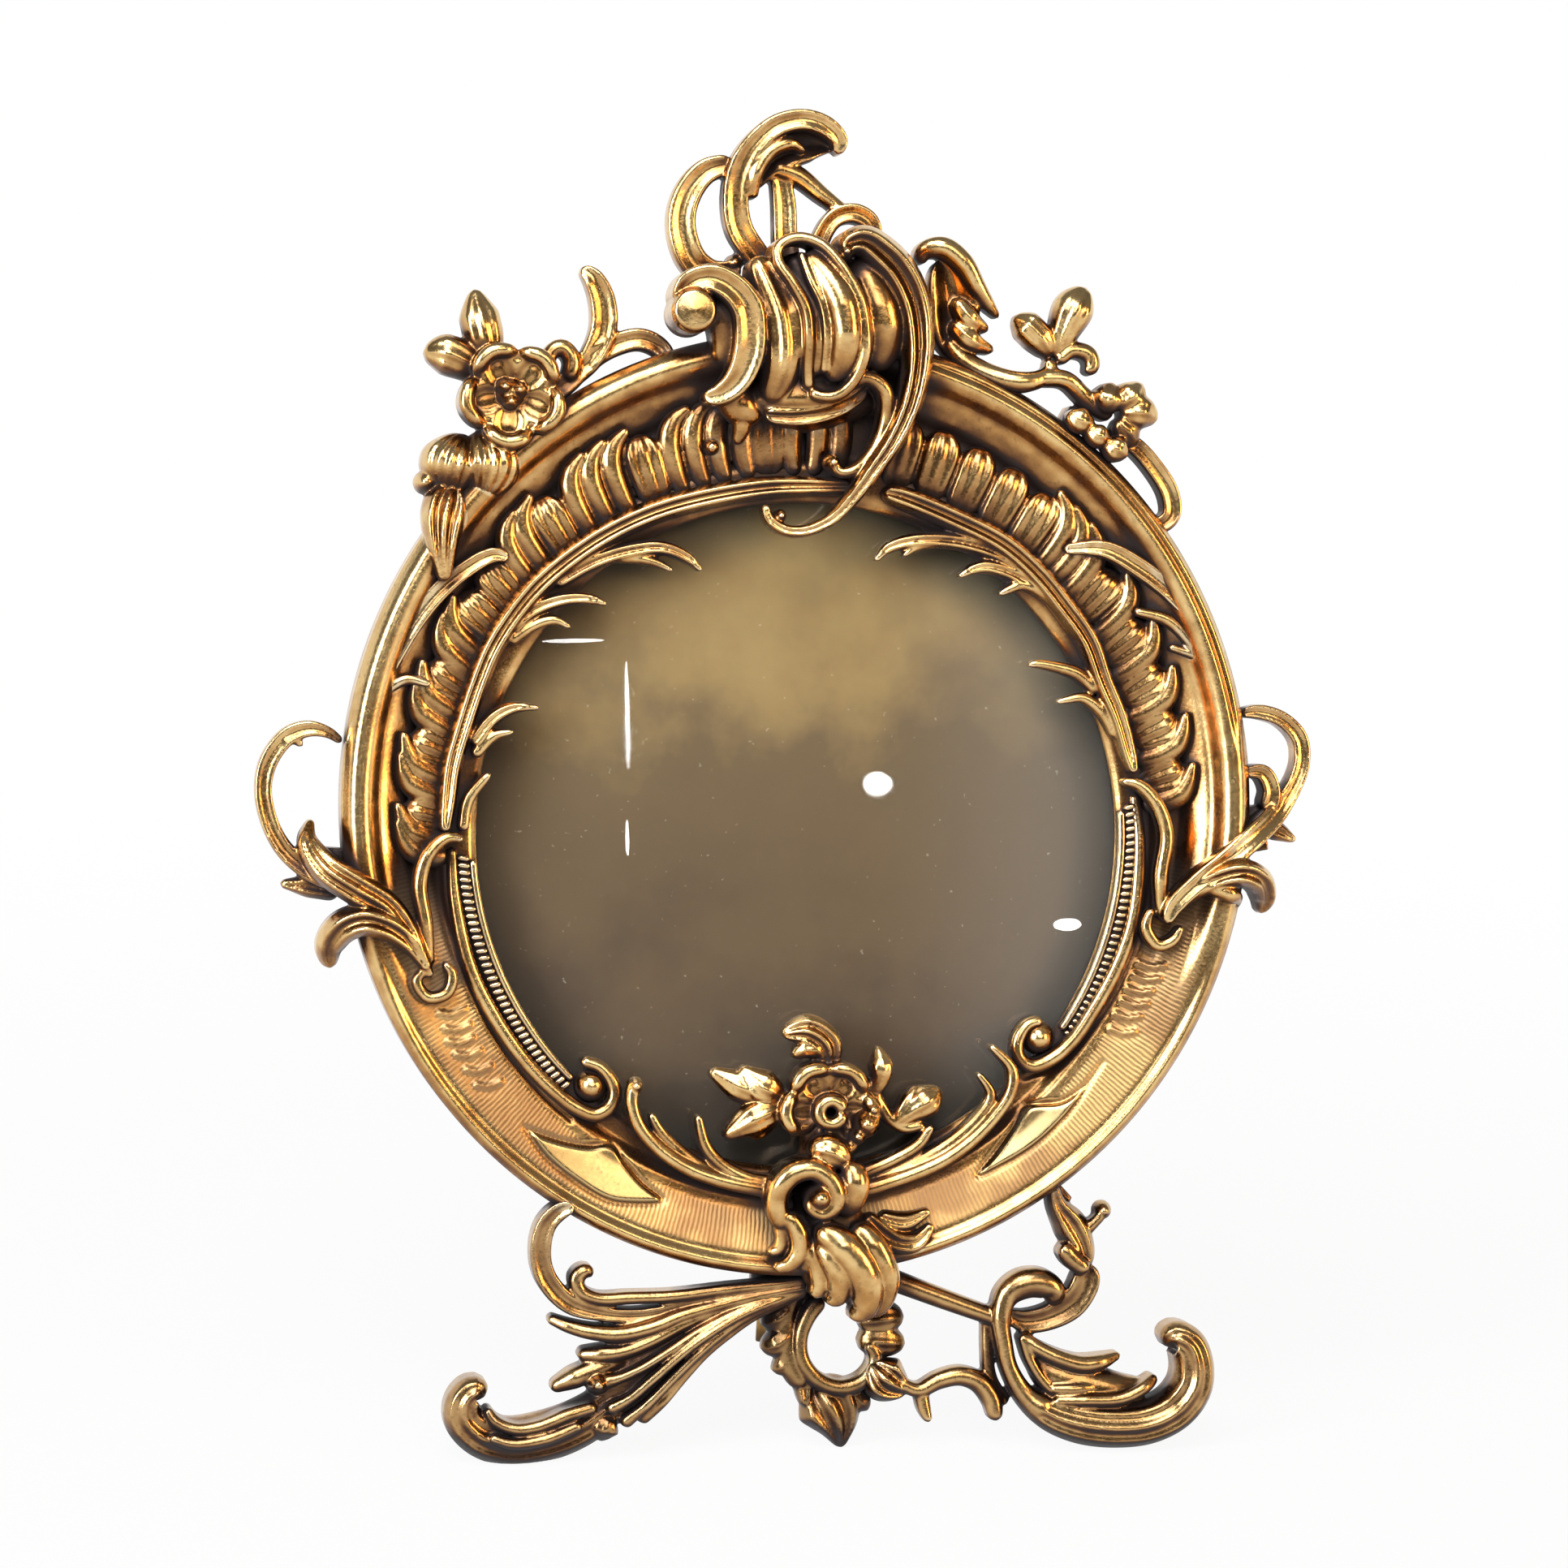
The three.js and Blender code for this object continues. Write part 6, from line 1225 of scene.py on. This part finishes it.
def screw_mesh(low, high, turn):
    """A slotted domed screw that points at the viewer, its head behind."""
    centre, head, back = (low[:2] + high[:2]) / 2, (high[0] - low[0]) / 2, low[2]
    neck = back + HEAD_HEIGHT
    profile = [(0, back), (0.5 * head, back + 0.06), (0.8 * head, back + 0.3), (0.97 * head, back + 0.8),
               (head, neck - 0.15), (0.95 * head, neck), (SHANK_RADIUS, neck),
               (SHANK_RADIUS, high[2] - 0.5), (0.6, high[2])]
    along = np.array([math.cos(turn), math.sin(turn)])
    side = SLOT_WIDTH / 2 * np.array([-along[1], along[0]])
    first, last = centre - 2 * head * along, centre + 2 * head * along
    slot = block([first - side, last - side, last + side, first + side], back - 1, back + SLOT_DEPTH)
    return cut_out(mesh_of("screw", [lathe(centre, profile)]), mesh_of("slot", [slot]))


for number, name in enumerate(SCREWS):
    screw = screw_mesh(*plane_box(name), SLOT_TURN * number)
    piece(f"{name}_turned", screw, steel, [name], smooth=False)

BUTTON_DEGREES = [35, 145, 215, 325]
BUTTON_PIVOT, BUTTON_LENGTH, HEEL_RADIUS, NOSE_RADIUS = 9.0, 6.8, 2.4, 1.2


def button_mesh(degrees, low, high):
    """A thin blade with a round heel over its screw and a narrower nose over the plate."""
    pivot, nose = band_point(degrees, BUTTON_PIVOT), band_point(degrees, BUTTON_PIVOT - BUTTON_LENGTH)
    heading = math.atan2(*(nose - pivot)[::-1])
    outline = [(*pivot, HEEL_RADIUS, heading + math.pi / 2, heading + 3 * math.pi / 2),
               (*nose, NOSE_RADIUS, heading - math.pi / 2, heading + math.pi / 2)]
    loop = np.array([(u + r * math.cos(t), v + r * math.sin(t))
                     for u, v, r, first, last in outline for t in np.linspace(first, last, 17)])
    middle = loop.mean(axis=0)
    rows = [[(*(middle + share * (point - middle)), depth) for point in loop]
            for share, depth in ((0.93, low), (0.99, low + 0.25), (1, low + 0.5), (1, high))]
    return mesh_of("button", [loft(np.array(rows))])


for number, degrees in enumerate(BUTTON_DEGREES, 1):
    button = f"turn_button_{number}"
    low, high = plane_box(button)
    blade = button_mesh(degrees, low[2], high[2])
    piece(f"turn_blade_{number}", blade, dark, [button], f"button_{number}")

BARREL_RADIUS, PIN_RADIUS = 2.8, 1.2
LEAF_HALF, LEAF_ABOUT, LEAF_DEPTHS = 15.0, 10.0, (-2.6, -1.6)
KNUCKLE, WEB_ABOUT, WEB_DEPTHS = (7, 13), 2.6, (-5.5, -2.1)
RIVET_HEAD, RIVET_SHANK = [(0, 0), (1, 0.1), (1.8, 0.45), (2.3, 1)], 1.2
STRUT_NECK, STRUT_LEFT, STRUT_RIGHT = 6.7, 0.85, 8.35
STRUT_SHOULDER, STRUT_TAPER, STRUT_LENGTH, STRUT_CHAMFER = 4.0, 67.6, 150.2, 0.5


def along_hinge(radius, first, last, bevel=0.3):
    """A round bar along the hinge line."""
    profile = [(0, first), (radius - bevel, first), (radius, first + bevel), (radius, last - bevel),
               (radius - bevel, last), (0, last)]
    points, faces = lathe((0, 0), profile)
    return np.column_stack([points[:, 2], HINGE_HEIGHT + points[:, 0], HINGE_DEPTH + points[:, 1]]), faces


def hinge_slab(u, about, w):
    """A box between bounds across and in depth, so far above and below the hinge line."""
    low, high = HINGE_HEIGHT - about, HINGE_HEIGHT + about
    return block([(u[0], low), (u[1], low), (u[1], high), (u[0], high)], *w)


knuckles = [(-KNUCKLE[1], -KNUCKLE[0]), KNUCKLE]
leaf = [hinge_slab((-LEAF_HALF, LEAF_HALF), LEAF_ABOUT, LEAF_DEPTHS)]
leaf += [along_hinge(BARREL_RADIUS, *knuckle) for knuckle in knuckles]
leaf += [hinge_slab(knuckle, WEB_ABOUT, WEB_DEPTHS) for knuckle in knuckles]
piece("hinge_plate", mesh_of("hinge_plate", leaf), sheet, ["hinge_leaf"], smooth=False)
low, high = plane_box("hinge_pin")
rod = mesh_of("hinge_rod", [along_hinge(PIN_RADIUS, low[0], high[0])])
piece("hinge_rod", rod, steel, ["hinge_pin"])
for number in (1, 2):
    low, high = plane_box(f"hinge_rivet_{number}")
    profile = [(radius, low[2] + height) for radius, height in RIVET_HEAD]
    profile += [(RIVET_SHANK, profile[-1][1]), (RIVET_SHANK, high[2])]
    rivet = mesh_of("rivet", [lathe((low[:2] + high[:2]) / 2, profile)])
    piece(f"rivet_{number}", rivet, dark, [f"hinge_rivet_{number}"])


def strut_mesh():
    """A slim strut that narrows from its neck to a bar set off to the right, hung from its hinge barrel."""
    t = np.linspace(0, 1, 20)
    ease = smoothstep(0, 1, t)
    drops = (1 - t) ** 3 * STRUT_SHOULDER + 3 * t * (1 - t) * STRUT_TAPER / 2 + t ** 3 * STRUT_TAPER
    left, right = ([(start, 0.0), *zip(start + (end - start) * ease, -drops), (end, -STRUT_LENGTH)]
                   for start, end in ((-STRUT_NECK, STRUT_LEFT), (STRUT_NECK, STRUT_RIGHT)))
    loop = np.array(left + right[::-1])
    inward = np.concatenate([np.ones(len(left)), -np.ones(len(right))])
    rows = []
    for shrink, depth in ((STRUT_CHAMFER, -1), (0, -0.5), (0, 0.5), (STRUT_CHAMFER, 1)):
        u = loop[:, 0] + inward * shrink
        v = loop[:, 1] * math.cos(STRUT_OPENING) - depth * math.sin(STRUT_OPENING)
        w = loop[:, 1] * math.sin(STRUT_OPENING) + depth * math.cos(STRUT_OPENING)
        rows.append(np.column_stack([u, HINGE_HEIGHT + v, HINGE_DEPTH + w]))
    return mesh_of("strut", [loft(np.array(rows)), along_hinge(BARREL_RADIUS, -STRUT_NECK, STRUT_NECK)])


piece("easel_strut", strut_mesh(), sheet, ["strut"], "strut", smooth=False)


# Stage, lights and camera
FLOOR_TONE = (0.6, 0.6, 0.59)
FLOOR_REACH = 60.0
BACKDROP_AT, BACKDROP_BEND, BACKDROP_TOP = 3.0, 0.8, 3.0


def floor_material():
    """A pale floor that the camera, glass and brass see as white, a little less so near the frame."""
    made, tree, shader = material("pale_floor")
    place = object_place(tree)
    darker = [0.97 * channel for channel in FLOOR_TONE]
    tint = blend(tree, noise(tree, place, 3, 2), (*darker, 1), (*FLOOR_TONE, 1))
    tree.links.new(tint, shader["Base Color"])
    shader["Roughness"].default_value = 0.7
    path = node(tree, "ShaderNodeLightPath").outputs
    seen = maths(tree, "MAXIMUM", path["Is Camera Ray"], path["Is Transmission Ray"])
    seen = maths(tree, "MAXIMUM", seen, path["Is Glossy Ray"])
    far = remap(tree, vector_maths(tree, "LENGTH", place), 0.1, 0.6, 0.93, 1)
    glow = node(tree, "ShaderNodeEmission", {"Color": (1, 1, 1, 1), "Strength": 1.0}).outputs[0]
    plain = tree.nodes["Principled BSDF"].outputs[0]
    mix = node(tree, "ShaderNodeMixShader", {0: maths(tree, "MULTIPLY", seen, far), 1: plain, 2: glow})
    tree.links.new(mix.outputs[0], tree.nodes["Material Output"].inputs["Surface"])
    return made


def stage_floor():
    """A floor that curves up into a backdrop, far enough behind to walk round the frame."""
    curve = [(-FLOOR_REACH, 0), (-2, 0), (0, 0), (2, 0), (BACKDROP_AT, 0)]
    curve += [(BACKDROP_AT + BACKDROP_BEND * math.sin(t), BACKDROP_BEND - BACKDROP_BEND * math.cos(t))
              for t in np.linspace(0.1, math.pi / 2, 12)]
    curve.append((BACKDROP_AT + BACKDROP_BEND, BACKDROP_TOP))
    points = [(x, y, z) for y, z in curve for x in (-FLOOR_REACH, FLOOR_REACH)]
    faces = [(2 * i, 2 * i + 1, 2 * i + 3, 2 * i + 2) for i in range(len(curve) - 1)]
    mesh = bpy.data.meshes.new("floor")
    mesh.from_pydata(points, [], faces)
    mesh.materials.append(floor_material())
    floor = bpy.data.objects.new("floor", mesh)
    bpy.context.scene.collection.objects.link(floor)


stage_floor()


def softbox(name, place, target, size, power, colour=(1, 1, 1)):
    """A soft lamp aimed at a target. Places and sizes in metres."""
    light = bpy.data.lights.new(name, "AREA")
    light.shape, light.size, light.size_y = "RECTANGLE", *size
    light.energy, light.color = power, colour
    obj = bpy.data.objects.new(name, light)
    obj.location = place
    obj.rotation_euler = (Vector(target) - Vector(place)).to_track_quat("-Z", "Y").to_euler()
    bpy.context.scene.collection.objects.link(obj)
    return obj


# Where the photograph was taken from, in the frame's plane, and its ring's centre, in pixels.
CAMERA_TURN, CAMERA_RISE, CAMERA_DISTANCE = math.radians(-8), math.radians(1.5), 1000.0
VIEW = np.array([math.sin(CAMERA_TURN) * math.cos(CAMERA_RISE), math.sin(CAMERA_RISE),
                 math.cos(CAMERA_TURN) * math.cos(CAMERA_RISE)])
FOCAL_PIXELS, IMAGE_PIXELS, SENSOR = 6250, 1932, 36.0
RING_AT = (977, 990)

# Lamps: place, size, power and colour. All are aimed at the ring's centre.
LAMPS = {
    "overhead": ((-0.35, -0.75, 1.5), (1.1, 0.8), 20, (0.96, 0.98, 1)),
    "left_window": ((-1.5, -0.9, 0.7), (0.7, 1.2), 38, (0.84, 0.92, 1)),
    "right_lamp": ((1.5, -1.0, 0.6), (0.5, 0.9), 18, (1, 0.62, 0.26)),
    "front_left": ((-0.3, -2.2, 1.5), (1.0, 0.8), 10.5, (0.95, 0.97, 1)),
    "front_right": ((0.7, -2.2, 1.5), (1.0, 0.8), 9, (1, 0.82, 0.58)),
}
for name, (place, *lamp) in LAMPS.items():
    softbox(name, place, world(0, 0, 0), *lamp)

# Glints in the glass: where they are seen on the pane, their size there and their glow.
PANE_FRONT, GLINT_DISTANCE = 5.7, 1200.0
GLINTS = {
    "glint_bulb": ((16, 4), (5.4, 4.4), 60),
    "glint_right": ((54, -24), (5.4, 2.4), 45),
    "glint_window": ((-33.4, 17.5), (0.7, 21), 34),
    "glint_window_low": ((-33.4, -6.5), (0.7, 7), 28),
    "glint_sill": ((-44, 32), (12, 0.8), 14),
}


def glass_glint(name, spot, size, glow):
    """A small lamp placed where the pane mirrors it to the camera as a spot of the given size."""
    eye_place = CAMERA_DISTANCE * VIEW
    mirrored = np.array([eye_place[0], eye_place[1], 2 * PANE_FRONT - eye_place[2]])
    place = np.array([*spot, PANE_FRONT])
    away = place + GLINT_DISTANCE / CAMERA_DISTANCE * (place - mirrored)
    spread_by = MM * (1 + GLINT_DISTANCE / CAMERA_DISTANCE)
    size = [side * spread_by for side in size]
    lamp = softbox(name, world(*away), world(*place), size, glow * math.pi * size[0] * size[1])
    lamp.data.shape = "ELLIPSE"
    lamp.visible_camera = False


for name, glint in GLINTS.items():
    glass_glint(name, *glint)


def studio_world():
    """A dim, even room, lighter overhead."""
    sky = bpy.data.worlds.new("studio")
    sky.use_nodes = True
    tree = sky.node_tree
    place = node(tree, "ShaderNodeTexCoord").outputs["Generated"]
    height = node(tree, "ShaderNodeSeparateXYZ", {0: place}).outputs["Z"]
    colour = blend(tree, remap(tree, height, -0.1, 0.9), (0.06, 0.055, 0.05, 1), (0.2, 0.2, 0.21, 1))
    tree.links.new(colour, tree.nodes["Background"].inputs["Color"])
    bpy.context.scene.world = sky


studio_world()


def camera():
    """The camera, where the photograph was taken from."""
    lens = bpy.data.cameras.new("camera")
    lens.sensor_width, lens.lens = SENSOR, SENSOR * FOCAL_PIXELS / IMAGE_PIXELS
    lens.shift_x = (IMAGE_PIXELS / 2 - RING_AT[0]) / IMAGE_PIXELS
    lens.shift_y = (RING_AT[1] - IMAGE_PIXELS / 2) / IMAGE_PIXELS
    obj = bpy.data.objects.new("camera", lens)
    back = Vector(VIEW @ AXES)
    right = Vector(UP).cross(back).normalized()
    up = back.cross(right)
    turn = Matrix((right, up, back)).transposed().to_4x4()
    obj.matrix_world = Matrix.Translation(world(*(CAMERA_DISTANCE * VIEW))) @ turn
    bpy.context.scene.collection.objects.link(obj)
    bpy.context.scene.camera = obj


camera()
bpy.context.scene.view_settings.view_transform = "Standard"
